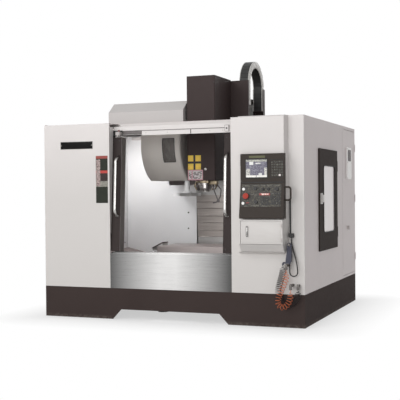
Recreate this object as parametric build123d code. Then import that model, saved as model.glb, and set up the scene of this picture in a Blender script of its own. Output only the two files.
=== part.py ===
from build123d import *
import math
import os

# Vertical machining centre with its enclosure. Millimetres.
# Everything is laid out in a shop frame: X runs right from the left side wall, Y runs back from the
# front panels, Z runs up from the floor. The written parts are shifted so that the origin is at the
# middle of the footprint, on the floor.

# Enclosure, driving dimensions
enclosure_width = 3070.0
enclosure_depth = 2500.0
enclosure_height = 2200.0
skirt_height = 350.0
floor_gap = 5.0
sheet = 4.0
lip = 30.0
seat_gap = 0.3

# Front opening and doors
left_panel_width = 835.0
right_panel_left = 2275.0
sill_top = 740.0
sill_depth = 150.0
door_width = 760.0
door_height = 1280.0
door_thickness = 100.0
door_overhang = 108.0
door_bottom = 760.0
door_front = 25.0
door_lean = 3.66
door_window_width = 430.0
door_window_height = 800.0
pane_thickness = 10.0
hanger_height = 24.0
beam_bottom = 2050.0
beam_top = 2155.0
beam_front = 104.0
beam_depth = 150.0
beam_groove = 58.0
rail_cover_height = 50.0
rail_cover_left = 1190.0
bracket_left = 2177.0
bracket_width = 45.0
bracket_height = 68.0
bracket_depth = 16.0
notch_bottom_left = 862.0
notch_bottom_right = 2234.0
notch_height = 110.0
notch_slope = 104.0

# Work area
liner_left = 220.0
liner_right = 2770.0
liner_drop = 50.0
liner_top = enclosure_height - liner_drop
liner_front = 215.0
back_wall_y = 1700.0
column_cover_left = 1204.0
tray_outer_height = 690.0
tray_inner_height = 540.0

# Axes
spindle_x = 1580.0
spindle_y = 1050.0
nose_bottom = 1418.0
head_up = 117.0
y_travel = 300.0
bed_bottom = 80.0
foot_rows = (760.0, 1300.0, 2240.0)
foot_side = 440.0
foot_pad_radius = 62.0
foot_pad_height = 25.0
foot_nut_height = 14.0
bed_top = 470.0
bed_half_width = 500.0
bed_front = 300.0
bed_rear = 2330.0
rail_pitch = 620.0
rail_width = 45.0
rail_height = 40.0
land_height = 30.0
saddle_width = 1500.0
saddle_depth = 580.0
saddle_height = 95.0
x_rail_pitch = 400.0
x_rail_height = 34.0
running_gap = 0.4

# Table
table_length = 1200.0
table_depth = 600.0
table_top = 775.0
table_thickness = 80.0
table_rest_x = 1670.0
slot_count = 5
slot_pitch = 100.0
slot_width = 18.0
slot_head_width = 30.0
slot_neck_depth = 20.0
slot_head_depth = 13.0

# Column
column_front = 1780.0
column_depth = 540.0
column_top = 2600.0
column_base_half = 480.0
column_neck_half = 252.0
column_neck_height = 2100.0
z_rail_pitch = 290.0
z_rail_width = 35.0
z_rail_depth = 30.0
z_rail_bottom = 1000.0
z_rail_top = 2540.0

# Head
head_cover_width = 356.0
head_cover_front = 900.0
head_cover_depth = 570.0
head_cover_bottom = 1550.0
head_cover_top = 2785.0
head_casting_width = 300.0
head_casting_top = 2000.0
slide_bottom = 1560.0
slide_top = 2160.0
wing_right = 1994.0
wing_top = 2775.0
wing_bottom = 2230.0
cartridge_radius = 75.0
flange_radius = 98.0
flange_thickness = 18.0
spindle_radius = 44.0
taper_large_radius = 22.2
taper_length = 70.0
nozzle_circle = 116.0

# Telescopic column cover
cover_plates = 3
cover_plate_height = 232.0
cover_exposed = 177.8
cover_top_edge = 1373.0
cover_sheet = 3.0
cover_front = 1680.0
cover_step_gap = 0.5
cover_flange = 30.0

# Cable chain
chain_left = 1859.0
chain_width = 121.0
chain_front = 1490.0
chain_rear = 2120.0
chain_thickness = 85.0
chain_centre_z = 2726.0
chain_head_end = 2480.0
chain_fixed_end = 2440.0
guide_top = 2720.0
guide_bottom = 2160.0

# Tool magazine
magazine_left = 825.0
magazine_right = 1330.0
magazine_y = 1319.0
magazine_z = 1990.0
magazine_radius = 476.0
magazine_cut_z = 1553.0
magazine_window_left = 1107.0
magazine_window_right = 1262.0
magazine_window_bottom = 1776.0
magazine_window_top = 2052.0
disc_x = 1040.0
disc_radius = 372.0
disc_thickness = 24.0
disc_bore = 42.0
pot_count = 24
pot_circle_radius = 330.0
pot_radius = 33.0
pot_length = 72.0
pot_neck_radius = 14.0
pot_hinge_offset = 40.0
pot_pin_radius = 4.0
pot_ear_thickness = 6.7
arm_bottom = 1365.0
arm_thickness = 36.0
arm_shaft_radius = 30.0
bracket_bottom = 1720.0
bracket_top = 1880.0
roof_cover_left = 390.0
roof_cover_gap = 25.0
roof_cover_right = spindle_x - head_cover_width / 2 - roof_cover_gap
roof_cover_front = 850.0
roof_cover_back = 1770.0
roof_cover_rise = 190.0
roof_cover_height = 307.0
roof_cover_fold = enclosure_height + roof_cover_rise
roof_cover_top = enclosure_height + roof_cover_height
roof_cover_slope_end = 1000.0

# Operator side
console_left = 2390.0
console_right = 2885.0
console_front = -95.0
console_bottom = 765.0
console_bevel = 25.0
console_side_slope = 22.0
console_fold = 12.0
operator_left = 2430.0
operator_right = 2902.0
operator_top = 1805.0
operator_split = 1505.0
operator_bottom = 1137.0
operator_front = -140.0
operator_foot_front = -200.0
operator_chamfer = 12.0
operator_back = console_front - seat_gap
storage_left = 2422.0
storage_right = 2887.0
storage_top = 1126.0
storage_bottom = 873.0
storage_bevel_bottom = 790.0
storage_front = -175.0
storage_wall = 12.0
storage_door_inset = 4.0
storage_door_thickness = 10.0
storage_barrel_radius = 4.7
storage_hinge_y = storage_front - storage_barrel_radius - seat_gap
storage_hinge_x = storage_right - storage_wall - seat_gap
screen_left = 2500.0
screen_right = 2710.0
screen_bottom = 1563.0
screen_top = 1742.0
key_left = 2765.0
key_bottom = 1572.0
key_columns = 5
key_rows = 6
key_width = 20.0
key_height = 19.0
key_pitch_x = 26.0
key_pitch_z = 27.0
grab_reach = 60.0
grab_bottom = 1326.0
grab_top = 1459.0
grab_radius = 10.0
grab_bend = 26.0
stop_x = 2500.0
stop_z = 1366.0
stop_radius = 30.0
button_x = 2470.0
button_upper_z = 1439.0
button_lower_z = 1294.0
button_radius = 15.0
hinge_radius = 7.0
knob_radius = 19.0
knob_places = ((2595.0, 1446.0), (2828.0, 1440.0), (2608.0, 1305.0))
plate_left = 2447.0
plate_right = 2872.0
plate_bottom = 1259.0
plate_top = 1490.0

# Right side
side_door_front = 590.0
side_door_rear = 1450.0
side_door_bottom = 755.0
side_door_top = 1880.0
side_door_thickness = 14.0
side_window_front = 780.0
side_window_rear = 1310.0
side_window_bottom = 955.0
side_window_top = 1693.0
side_window_corner = 45.0
side_window_seat = 14.0
side_handle_reach = 26.0
side_handle_front = 622.0
side_handle_rear = 708.0
side_handle_bottom = 1272.0
side_handle_top = 1390.0
side_hinge_radius = 8.0
cabinet_front = 1785.0
cabinet_rear = 2486.0
cabinet_hinge_y = cabinet_rear + 6
cabinet_bottom = 380.0
cabinet_top = 2160.0
cabinet_left = 2560.0
vent_front = 1990.0
vent_rear = 2230.0
vent_bottom = 1557.0
vent_top = 1946.0
vent_reach = 18.0
switch_y = 2050.0
switch_z = 956.0
switch_radius = 24.0

# Coolant tank at the rear
tank_left = 620.0
tank_right = 2450.0
tank_front = 2345.0
tank_rear = 2700.0
tank_top = 330.0
tank_bottom = 55.0
tank_wall = 5.0
tank_wheel_radius = 25.0
tank_wheel_width = 28.0
pump_radius = 80.0
pump_height = 300.0

# Hanging air gun and hoses
hose_radius = 6.0
coil_radius = 24.5
strip_left = 2914.0
strip_width = 16.0
strip_thickness = 10.0
strip_bottom = 980.0
strip_top = 1330.0
trigger_pin_height = 795.0
trigger_pin_radius = 4.5

# The change arm turns midway between the spindle and the pot that hangs over the change station
station_x = disc_x - disc_thickness / 2 - pot_hinge_offset
arm_pivot_x = (spindle_x + station_x) / 2
arm_pivot_y = (spindle_y + magazine_y) / 2
arm_half_length = math.hypot(spindle_x - station_x, spindle_y - magazine_y) / 2


# Helpers

def block(x0, x1, y0, y1, z0, z1):
    return Pos(x0, y0, z0) * Box(x1 - x0, y1 - y0, z1 - z0, align=(Align.MIN, Align.MIN, Align.MIN))


def face_of(points):
    return make_face(Polyline(*points, close=True))


def prism_yz(points, x0, x1):
    plane = Plane(origin=(x0, 0, 0), x_dir=(0, 1, 0), z_dir=(1, 0, 0))
    return extrude(plane * face_of(points), amount=x1 - x0)


def prism_xz(points, y0, y1):
    plane = Plane(origin=(0, y1, 0), x_dir=(1, 0, 0), z_dir=(0, -1, 0))
    return extrude(plane * face_of(points), amount=y1 - y0)


def prism_xy(points, z0, z1):
    return extrude(Plane(origin=(0, 0, z0)) * face_of(points), amount=z1 - z0)


def rod_x(radius, x0, x1, y, z):
    return Pos((x0 + x1) / 2, y, z) * Rot(0, 90, 0) * Cylinder(radius, x1 - x0)


def rod_y(radius, x, y0, y1, z):
    return Pos(x, (y0 + y1) / 2, z) * Rot(90, 0, 0) * Cylinder(radius, y1 - y0)


def rod_z(radius, x, y, z0, z1):
    return Pos(x, y, (z0 + z1) / 2) * Cylinder(radius, z1 - z0)


def rounded_xz(x0, x1, z0, z1, radius, y0, y1):
    plane = Plane(origin=((x0 + x1) / 2, y1, (z0 + z1) / 2), x_dir=(1, 0, 0), z_dir=(0, -1, 0))
    return extrude(plane * RectangleRounded(x1 - x0, z1 - z0, radius), amount=y1 - y0)


def rounded_yz(y0, y1, z0, z1, radius, x0, x1):
    plane = Plane(origin=(x0, (y0 + y1) / 2, (z0 + z1) / 2), x_dir=(0, 1, 0), z_dir=(1, 0, 0))
    return extrude(plane * RectangleRounded(y1 - y0, z1 - z0, radius), amount=x1 - x0)


def folded_section(points, thickness):
    # A sheet folded along a line of points: the line itself and its copy set off to the right of travel
    offset = []
    count = len(points)
    for i in range(count):
        normals = []
        for a, b in ((i - 1, i), (i, i + 1)):
            if a < 0 or b >= count:
                continue
            dx = points[b][0] - points[a][0]
            dy = points[b][1] - points[a][1]
            size = math.hypot(dx, dy)
            normals.append((dy / size, -dx / size))
        nx = sum(n[0] for n in normals) / len(normals)
        ny = sum(n[1] for n in normals) / len(normals)
        stretch = thickness / (nx * nx + ny * ny)
        offset.append((points[i][0] + nx * stretch, points[i][1] + ny * stretch))
    return list(points) + offset[::-1]


def save(name, *shapes):
    solids = []
    for shape in shapes:
        solids.extend(shape.solids())
    placed = [Pos(-middle_x, -middle_y, 0) * solid for solid in solids]
    export_step(Compound(children=placed) if len(placed) > 1 else placed[0], f"parts/{name}.step")


# Machine base

def bed_casting():
    width = bed_half_width
    body = prism_xy([(spindle_x - width, bed_front), (spindle_x + width, bed_front),
                     (spindle_x + width, column_front - 40), (spindle_x + width + 60, column_front + 20),
                     (spindle_x + width + 60, bed_rear), (spindle_x - width - 60, bed_rear),
                     (spindle_x - width - 60, column_front + 20), (spindle_x - width, column_front - 40)],
                    bed_bottom, bed_top)
    arch_half = 300.0
    arch_height = 170.0
    arch = prism_xz([(spindle_x - arch_half, bed_bottom - 1), (spindle_x + arch_half, bed_bottom - 1),
                     (spindle_x + arch_half - 90, bed_bottom + arch_height),
                     (spindle_x - arch_half + 90, bed_bottom + arch_height)], bed_front - 1, bed_rear + 1)
    body -= arch
    pocket_depth = 70.0
    for side in (-1, 1):
        for y in (520.0, 900.0, 1280.0):
            outer = spindle_x + side * width
            inner = outer - side * pocket_depth
            body -= block(min(outer, inner) - 1, max(outer, inner) + 1, y, y + 260, 190, 400)
    for side in (-1, 1):
        x = spindle_x + side * rail_pitch / 2
        body += block(x - 50, x + 50, bed_front + 40, column_front - 60, bed_top, bed_top + land_height)
    return body


def foot_places():
    return [(spindle_x + side * foot_side, y) for side in (-1, 1) for y in foot_rows]


def levelling_feet():
    feet = []
    for x, y in foot_places():
        pad = Pos(x, y, foot_pad_height / 2) * Cone(foot_pad_radius, foot_pad_radius - 12, foot_pad_height)
        screw = rod_z(18, x, y, foot_pad_height, bed_bottom)
        nut = Pos(x, y, bed_bottom - foot_nut_height) * extrude(RegularPolygon(30, 6), amount=foot_nut_height)
        feet.append(pad + screw + nut)
    return feet


def axis_drives():
    pieces = []
    rail_base = bed_top + land_height
    for side in (-1, 1):
        x = spindle_x + side * rail_pitch / 2
        half = rail_width / 2
        pieces.append(prism_xz([(x - half, rail_base), (x + half, rail_base), (x + half, rail_base + 12),
                                (x + half - 6, rail_base + 20), (x + half, rail_base + 28),
                                (x + half, rail_base + rail_height), (x - half, rail_base + rail_height),
                                (x - half, rail_base + 28), (x - half + 6, rail_base + 20),
                                (x - half, rail_base + 12)], bed_front + 60, column_front - 70))
    for side in (-1, 1):
        x = spindle_x + side * z_rail_pitch / 2
        half = z_rail_width / 2
        y = column_front
        pieces.append(prism_xy([(x - half, y), (x + half, y), (x + half, y - 9), (x + half - 5, y - 15),
                                (x + half, y - 21), (x + half, y - z_rail_depth),
                                (x - half, y - z_rail_depth), (x - half, y - 21), (x - half + 5, y - 15),
                                (x - half, y - 9)], z_rail_bottom, z_rail_top))
    screw_z = bed_top + 28
    bearing = block(spindle_x - 60, spindle_x + 60, bed_front + 60, bed_front + 110, bed_top, bed_top + 62)
    y_screw = rod_y(16, spindle_x, bed_front + 80, column_front - 50, screw_z) + bearing
    y_motor = block(spindle_x - 65, spindle_x + 65, bed_front - 60, bed_front + 60, screw_z - 60, screw_z + 60)
    y_motor -= block(spindle_x - 70, spindle_x + 70, bed_front, bed_front + 70, screw_z - 70, bed_top)
    pieces.append(y_screw + y_motor)
    z_screw = rod_z(16, spindle_x, column_front - 20, z_rail_bottom, column_top + 20)
    top_bearing = block(spindle_x - 70, spindle_x + 70, column_front - 80, column_front, z_rail_top + 20, column_top)
    low_bearing = block(spindle_x - 50, spindle_x + 50, column_front - 45, column_front, z_rail_bottom - 40,
                        z_rail_bottom)
    z_motor = block(spindle_x - 75, spindle_x + 75, column_front - 95, column_front + 55, column_top, column_top + 170)
    pieces.append(z_screw + top_bearing + low_bearing + z_motor)
    return pieces


def column_casting():
    base = column_base_half
    neck = column_neck_half
    outline = [(spindle_x - base, bed_top), (spindle_x + base, bed_top), (spindle_x + base - 40, 900),
               (spindle_x + neck, column_neck_height), (spindle_x + neck, column_top),
               (spindle_x - neck, column_top), (spindle_x - neck, column_neck_height),
               (spindle_x - base + 40, 900)]
    body = prism_xz(outline, column_front, column_front + column_depth)
    wall = 45.0
    hollow = [(spindle_x - base + wall + 50, bed_top + 80), (spindle_x + base - wall - 50, bed_top + 80),
              (spindle_x + base - wall - 90, 900), (spindle_x + neck - wall, column_neck_height),
              (spindle_x + neck - wall, column_top - 120), (spindle_x - neck + wall, column_top - 120),
              (spindle_x - neck + wall, column_neck_height), (spindle_x - base + wall + 90, 900)]
    body -= prism_xz(hollow, column_front + 70, column_front + column_depth + 1)
    for z in (1150.0, 1700.0, 2150.0):
        body += block(spindle_x - neck + 30, spindle_x + neck - 30, column_front + 60,
                      column_front + column_depth - 60, z, z + 40)
    return body


# Saddle and table

saddle_bottom = bed_top + land_height + rail_height + 5
saddle_front = spindle_y - saddle_depth / 2


def carriage(width_rail, gap):
    return width_rail / 2 + gap


def saddle_casting():
    left = spindle_x - saddle_width / 2
    right = spindle_x + saddle_width / 2
    rear = saddle_front + saddle_depth
    top = saddle_bottom + saddle_height
    body = block(left, right, saddle_front, rear, saddle_bottom + 30, top)
    body += block(spindle_x - 420, spindle_x + 420, saddle_front, rear, saddle_bottom, saddle_bottom + 30)
    for side in (-1, 1):
        x = spindle_x + side * rail_pitch / 2
        inner = carriage(rail_width, running_gap)
        for y in (saddle_front + 20, rear - 150):
            for cheek in (-1, 1):
                x0 = x + cheek * inner
                x1 = x + cheek * (inner + 28)
                body += block(min(x0, x1), max(x0, x1), y, y + 130, saddle_bottom - 22, saddle_bottom)
    nut_z = bed_top + 28
    nut = block(spindle_x - 45, spindle_x + 45, spindle_y - 60, spindle_y + 60, nut_z - 20, saddle_bottom)
    nut -= rod_y(16 + running_gap, spindle_x, spindle_y - 61, spindle_y + 61, nut_z)
    body += nut
    for side in (-1, 1):
        y = spindle_y + side * x_rail_pitch / 2
        body += block(left + 20, right - 20, y - rail_width / 2, y + rail_width / 2, top, top + x_rail_height)
    front_cover = folded_section([(saddle_front, top - 10), (saddle_front - 150, top - 20),
                                  (saddle_front - 300, top - 45)], 3.0)
    rear_cover = folded_section([(rear + 45, top - 18), (rear, top - 10)], 3.0)
    cover_half = 400.0
    cover = prism_yz(front_cover, spindle_x - cover_half, spindle_x + cover_half)
    back = prism_yz(rear_cover, spindle_x - cover_half, spindle_x + cover_half)
    motor = block(right - 10, right + 70, spindle_y - 50, spindle_y + 50, top - 60, top)
    body += motor
    screw = rod_x(14, left + 30, right - 30, spindle_y, top + 26)
    ends = block(left + 20, left + 70, spindle_y - 45, spindle_y + 45, top, top + 45)
    ends += block(right - 70, right - 20, spindle_y - 45, spindle_y + 45, top, top + 45)
    return [body + ends, screw - ends, cover, back]


def work_table():
    x0 = table_rest_x - table_length / 2
    x1 = table_rest_x + table_length / 2
    y0 = spindle_y - table_depth / 2
    y1 = spindle_y + table_depth / 2
    bottom = table_top - table_thickness
    body = block(x0, x1, y0, y1, bottom, table_top)
    gutter = 14.0
    for y in (y0 + 22, y1 - 22 - gutter):
        body -= block(x0 - 1, x1 + 1, y, y + gutter, table_top - 12, table_top + 1)
    for i in range(slot_count):
        y = spindle_y + (i - (slot_count - 1) / 2) * slot_pitch
        body -= block(x0 - 1, x1 + 1, y - slot_width / 2, y + slot_width / 2,
                      table_top - slot_neck_depth, table_top + 1)
        body -= block(x0 - 1, x1 + 1, y - slot_head_width / 2, y + slot_head_width / 2,
                      table_top - slot_neck_depth - slot_head_depth, table_top - slot_neck_depth + 0.5)
    saddle_top = saddle_bottom + saddle_height
    for side in (-1, 1):
        y = spindle_y + side * x_rail_pitch / 2
        inner = carriage(rail_width, running_gap)
        for x in (table_rest_x - 190, table_rest_x + 70):
            for cheek in (-1, 1):
                a = y + cheek * inner
                b = y + cheek * (inner + 26)
                body += block(x, x + 120, min(a, b), max(a, b), saddle_top + 6, bottom)
    nut_z = saddle_top + 26
    nut = block(table_rest_x - 60, table_rest_x + 60, spindle_y - 34, spindle_y + 34, nut_z - 18, bottom)
    nut -= rod_x(14 + running_gap, table_rest_x - 61, table_rest_x + 61, spindle_y, nut_z)
    return [body + nut]


# Head and spindle

head_left = spindle_x - head_cover_width / 2
head_right = spindle_x + head_cover_width / 2
head_back = head_cover_front + head_cover_depth


def head_casting():
    half = head_casting_width / 2
    outline = [(spindle_y - 110, 1620), (column_front - 60, slide_bottom), (column_front - 60, slide_top),
               (column_front - 330, 2060), (spindle_y + 150, head_casting_top), (spindle_y - 110, head_casting_top)]
    body = prism_yz(outline, spindle_x - half, spindle_x + half)
    body -= rod_z(cartridge_radius + seat_gap, spindle_x, spindle_y, 1600, 2020)
    slide_half = z_rail_pitch / 2 + 32
    face = column_front - z_rail_depth - 8
    body += block(spindle_x - slide_half, spindle_x + slide_half, column_front - 90, face, slide_bottom, slide_top)
    for side in (-1, 1):
        x = spindle_x + side * z_rail_pitch / 2
        inner = carriage(z_rail_width, running_gap)
        for z in (slide_bottom + 20, slide_top - 150):
            for cheek in (-1, 1):
                a = x + cheek * inner
                b = x + cheek * (inner + 14)
                body += block(min(a, b), max(a, b), face, column_front - 6, z, z + 130)
    nut = block(spindle_x - 40, spindle_x + 40, face, column_front - 2, 1800, 1900)
    nut -= rod_z(16 + running_gap, spindle_x, column_front - 20, 1799, 1901)
    return [body + nut]


def head_cover():
    outer = block(head_left, head_right, head_cover_front, head_back, head_cover_bottom, head_cover_top)
    fold_radius = 12.0
    outer = fillet(outer.edges().filter_by(Axis.Z).group_by(Axis.Y)[0], fold_radius)
    inner = block(head_left + sheet, head_right - sheet, head_cover_front + sheet, head_back + 1,
                  head_cover_bottom + sheet, head_cover_top - sheet)
    box = outer - inner
    box -= rod_z(cartridge_radius + 6, spindle_x, spindle_y, head_cover_bottom - 1, head_cover_bottom + sheet + 1)
    skirt_open = block(head_left + 30, head_right - 30, head_back - 160, head_back + 1,
                       head_cover_bottom - 1, head_cover_bottom + sheet + 1)
    box -= skirt_open
    wing = block(head_right, wing_right, head_back, head_back + sheet, wing_bottom, wing_top)
    wing += block(head_right - lip, head_right + 1, head_back, head_back + sheet, wing_bottom, wing_top)
    wing += block(wing_right - sheet, wing_right, head_back - lip, head_back + sheet, wing_bottom, wing_top)
    shelf = block(chain_left, chain_left + chain_width, head_back + sheet, chain_front + chain_thickness,
                  chain_head_end - 10, chain_head_end)
    shelf += prism_yz([(head_back + sheet, chain_head_end - 10), (chain_front + chain_thickness, chain_head_end - 10),
                       (head_back + sheet, chain_head_end - 90)], chain_left + 50, chain_left + 58)
    return [box, wing + shelf]


def spindle_cartridge():
    body = rod_z(cartridge_radius, spindle_x, spindle_y, nose_bottom + 40, 2010)
    body += rod_z(flange_radius, spindle_x, spindle_y, 1500, 1500 + flange_thickness)
    body += Pos(spindle_x, spindle_y, nose_bottom + 24) * Cone(58, cartridge_radius, 32)
    body -= rod_z(spindle_radius + running_gap, spindle_x, spindle_y, nose_bottom - 10, 2011)
    for i in range(8):
        angle = math.radians(45 * i + 22.5)
        x = spindle_x + 86 * math.cos(angle)
        y = spindle_y + 86 * math.sin(angle)
        body -= rod_z(5, x, y, 1499, 1508)
    return [body]


def spindle_shaft():
    body = rod_z(spindle_radius, spindle_x, spindle_y, nose_bottom, 2060)
    body -= Pos(spindle_x, spindle_y, nose_bottom + taper_length / 2 - 0.5) * Cone(
        taper_large_radius, 12.5, taper_length + 1)
    body -= rod_z(12.5, spindle_x, spindle_y, nose_bottom + taper_length - 1, nose_bottom + 160)
    for side in (-1, 1):
        key = block(spindle_x + side * 32 - 8, spindle_x + side * 32 + 8, spindle_y - 8, spindle_y + 8,
                    nose_bottom - 8, nose_bottom + 2)
        body += key
    return [body]


def spindle_motor():
    flange = block(spindle_x - 105, spindle_x + 105, spindle_y - 105, spindle_y + 105, 2100, 2124)
    coupling = rod_z(62, spindle_x, spindle_y, 2066, 2100)
    for side_x in (-1, 1):
        for side_y in (-1, 1):
            flange += rod_z(12, spindle_x + side_x * 88, spindle_y + side_y * 88, head_casting_top, 2100)
    body = block(spindle_x - 98, spindle_x + 98, spindle_y - 98, spindle_y + 98, 2124, 2540)
    body = fillet(body.edges().filter_by(Axis.Z), 26)
    fan = rod_z(86, spindle_x, spindle_y, 2540, 2600)
    return [flange + coupling + body + fan]


def coolant_nozzles():
    # Ring manifold around the cartridge with jointed nozzles that point at the tool
    ring_bottom = 1522.0
    pieces = rod_z(nozzle_circle + 12, spindle_x, spindle_y, ring_bottom, ring_bottom + 24)
    pieces -= rod_z(cartridge_radius + seat_gap, spindle_x, spindle_y, ring_bottom - 1, ring_bottom + 25)
    for angle, tip_drop in ((-25, 48), (25, 40), (200, 44)):
        out_x = math.cos(math.radians(angle))
        out_y = math.sin(math.radians(angle))
        stations = [(nozzle_circle, ring_bottom + 6), (nozzle_circle + 14, 1482.0), (nozzle_circle - 8, 1482 - tip_drop)]
        joints = [Vector(spindle_x + r * out_x, spindle_y + r * out_y, z) for r, z in stations]
        for start, end, radius in ((joints[0], joints[1], 10.0), (joints[1], joints[2], 8.0)):
            plane = Plane(origin=start, z_dir=(end - start).normalized())
            pieces += extrude(plane * Circle(radius), amount=(end - start).length)
        pieces += Pos(joints[1]) * Sphere(11.5)
    return [pieces]


# Telescopic cover in front of the column

column_cover_right = 2 * spindle_x - column_cover_left


def cover_plate(index, bottom, top):
    # Each plate is a shallow channel that nests inside the one in front of it
    step = cover_sheet + cover_step_gap
    y = cover_front + index * step
    left = column_cover_left + index * step
    right = column_cover_right - index * step
    plate = block(left, right, y, y + cover_sheet, bottom, top)
    for x0 in (left, right - cover_sheet):
        plate += block(x0, x0 + cover_sheet, y, y + cover_flange + (cover_plates - index) * step, bottom, top)
    return plate


def head_cover_plate():
    plate = cover_plate(0, cover_top_edge, liner_top - 10)
    clear = 6.0
    slot_half = z_rail_pitch / 2 + 32 + clear
    plate -= block(spindle_x - slot_half, spindle_x + slot_half, cover_front - 1, cover_front + 100,
                   slide_bottom - clear, liner_top)
    plate -= block(column_cover_left - 1, magazine_right + 10, cover_front - 1, cover_front + 100,
                   magazine_cut_z - head_up - clear, liner_top)
    plate -= block(column_cover_left - 1, roof_cover_right + 8, cover_front - 1, cover_front + 100,
                   enclosure_height - head_up - clear, liner_top)
    tab_half = 100.0
    tab = block(spindle_x - tab_half, spindle_x + tab_half, cover_front + cover_sheet, cover_front + 40,
                slide_bottom - sheet, slide_bottom)
    tab += block(spindle_x - tab_half, spindle_x + tab_half, cover_front, cover_front + cover_sheet,
                 slide_bottom - 2 * sheet, slide_bottom)
    return plate + tab


def cover_plate_node(index):
    bottom = cover_top_edge - index * cover_exposed
    return cover_plate(index, bottom, bottom + cover_plate_height)


def fixed_cover_plate():
    index = cover_plates + 1
    step = cover_sheet + cover_step_gap
    y = cover_front + index * step
    left = column_cover_left + index * step
    right = column_cover_right - index * step
    bottom = tray_inner_height + 90
    top = cover_top_edge - index * cover_exposed + cover_plate_height
    plate = block(left, right, y, y + cover_sheet, bottom, top)
    for x0 in (left, right - cover_sheet):
        plate += block(x0, x0 + cover_sheet, y, column_front, bottom, top)
    return plate


# Cable chain

chain_outer_radius = (chain_rear - chain_front) / 2
chain_centre_y = (chain_rear + chain_front) / 2


def cable_chain():
    inner_radius = chain_outer_radius - chain_thickness
    half = rod_x(chain_outer_radius, chain_left, chain_left + chain_width, chain_centre_y, chain_centre_z)
    half -= rod_x(inner_radius, chain_left - 1, chain_left + chain_width + 1, chain_centre_y, chain_centre_z)
    half -= block(chain_left - 1, chain_left + chain_width + 1, chain_front - 1, chain_rear + 1,
                  chain_centre_z - chain_outer_radius - 1, chain_centre_z)
    front = block(chain_left, chain_left + chain_width, chain_front, chain_front + chain_thickness,
                  chain_head_end, chain_centre_z)
    rear = block(chain_left, chain_left + chain_width, chain_rear - chain_thickness, chain_rear,
                 chain_fixed_end, chain_centre_z)
    return [half + front + rear]


def cable_guide():
    gap = 4.0
    left = chain_left - gap - sheet
    right = chain_left + chain_width + gap + sheet
    back = chain_rear + gap + sheet
    guide = block(left, right, back - sheet, back, guide_bottom, guide_top)
    for x0 in (left, right - sheet):
        guide += block(x0, x0 + sheet, chain_rear - chain_thickness + 20, back, guide_bottom, guide_top)
    guide += block(left, right, chain_rear - chain_thickness, back, chain_fixed_end - 8, chain_fixed_end)
    neck = spindle_x + column_neck_half
    for z in (2240.0, 2540.0):
        guide += block(neck, left + 1, chain_rear - 40, chain_rear, z, z + 60)
    return [guide]


# Tool magazine and changer

def magazine_cover():
    wall = sheet
    outer = rod_x(magazine_radius, magazine_left, magazine_right, magazine_y, magazine_z)
    rim = outer.edges().filter_by(GeomType.CIRCLE).sort_by(Axis.X)[-1]
    outer = fillet(rim, 30)
    inner = rod_x(magazine_radius - wall, magazine_left + wall, magazine_right - wall, magazine_y, magazine_z)
    inner_rim = inner.edges().filter_by(GeomType.CIRCLE).sort_by(Axis.X)[-1]
    inner = fillet(inner_rim, 27)
    shell = outer - inner
    shell -= block(magazine_left - 1, magazine_right + 1, magazine_y - 600, magazine_y + 600,
                   magazine_z - 600, magazine_cut_z)
    window = block(magazine_window_left, magazine_window_right, magazine_y - 600, magazine_y,
                   magazine_window_bottom, magazine_window_top)
    shell -= window
    bracket_port = block(magazine_right - 60, magazine_right + 1, magazine_y + 120, magazine_y + 600,
                         bracket_bottom - 12, bracket_top + 12)
    column_relief = block(magazine_right - 140, magazine_right + 1, column_front - 8, column_front + 60, 1500, 2200)
    shell -= bracket_port + column_relief
    return [shell]


def tool_changer_base():
    # Cam box with its bracket to the column and the fixed shaft of the disc
    right = magazine_right - sheet - 4
    box_left = arm_pivot_x - 100
    box_front = arm_pivot_y - 100
    box_top = 1930.0
    box = block(box_left, right, box_front, arm_pivot_y + 105, 1605, box_top)
    box = fillet(box.edges().filter_by(Axis.Z), 6)
    box -= rod_z(arm_shaft_radius + running_gap, arm_pivot_x, arm_pivot_y, 1604, 1860)
    shaft = rod_x(disc_bore, disc_x - 60, box_left + 60, magazine_y, magazine_z)
    shaft_frame = block(box_left, box_left + 90, arm_pivot_y + 95, magazine_y + 140, 1900, 2060)
    shaft_frame += block(box_left, right, arm_pivot_y - 30, arm_pivot_y + 115, box_top - 5, 1990)
    bracket_right = spindle_x - column_neck_half - 8
    bracket = block(box_left + 50, box_left + 110, arm_pivot_y + 85, 1470, bracket_bottom, bracket_top)
    bracket += block(box_left + 50, bracket_right, 1450, 1560, bracket_bottom, bracket_top)
    bracket += block(bracket_right - 30, bracket_right, 1540, column_front, bracket_bottom, bracket_top)
    bracket += block(box_left + 50, box_left + 110, arm_pivot_y + 95, 1470, bracket_top - 1, 1905)
    motor = rod_z(55, arm_pivot_x - 40, arm_pivot_y - 15, box_top, 2080)
    return [box + shaft_frame + shaft + bracket + motor]


def tool_disc():
    x0 = disc_x - disc_thickness / 2
    x1 = disc_x + disc_thickness / 2
    disc = rod_x(disc_radius, x0, x1, magazine_y, magazine_z)
    hub = rod_x(80, x0 - 20, x1 + 40, magazine_y, magazine_z)
    disc += hub
    disc -= rod_x(disc_bore + running_gap, x0 - 21, x1 + 41, magazine_y, magazine_z)
    for i in range(6):
        angle = math.radians(60 * i)
        y = magazine_y + 200 * math.cos(angle)
        z = magazine_z + 200 * math.sin(angle)
        disc -= rod_x(55, x0 - 1, x1 + 1, y, z)
    turns = [-90 + 360 * i / pot_count for i in range(pot_count)]
    for angle in turns:
        disc += Pos(0, magazine_y, magazine_z) * Rot(angle, 0, 0) * pot_ears()
    pots = [Pos(0, magazine_y, magazine_z) * Rot(angle, 0, 0) * pot_at_side() for angle in turns[1:]]
    return [disc] + pots


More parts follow.
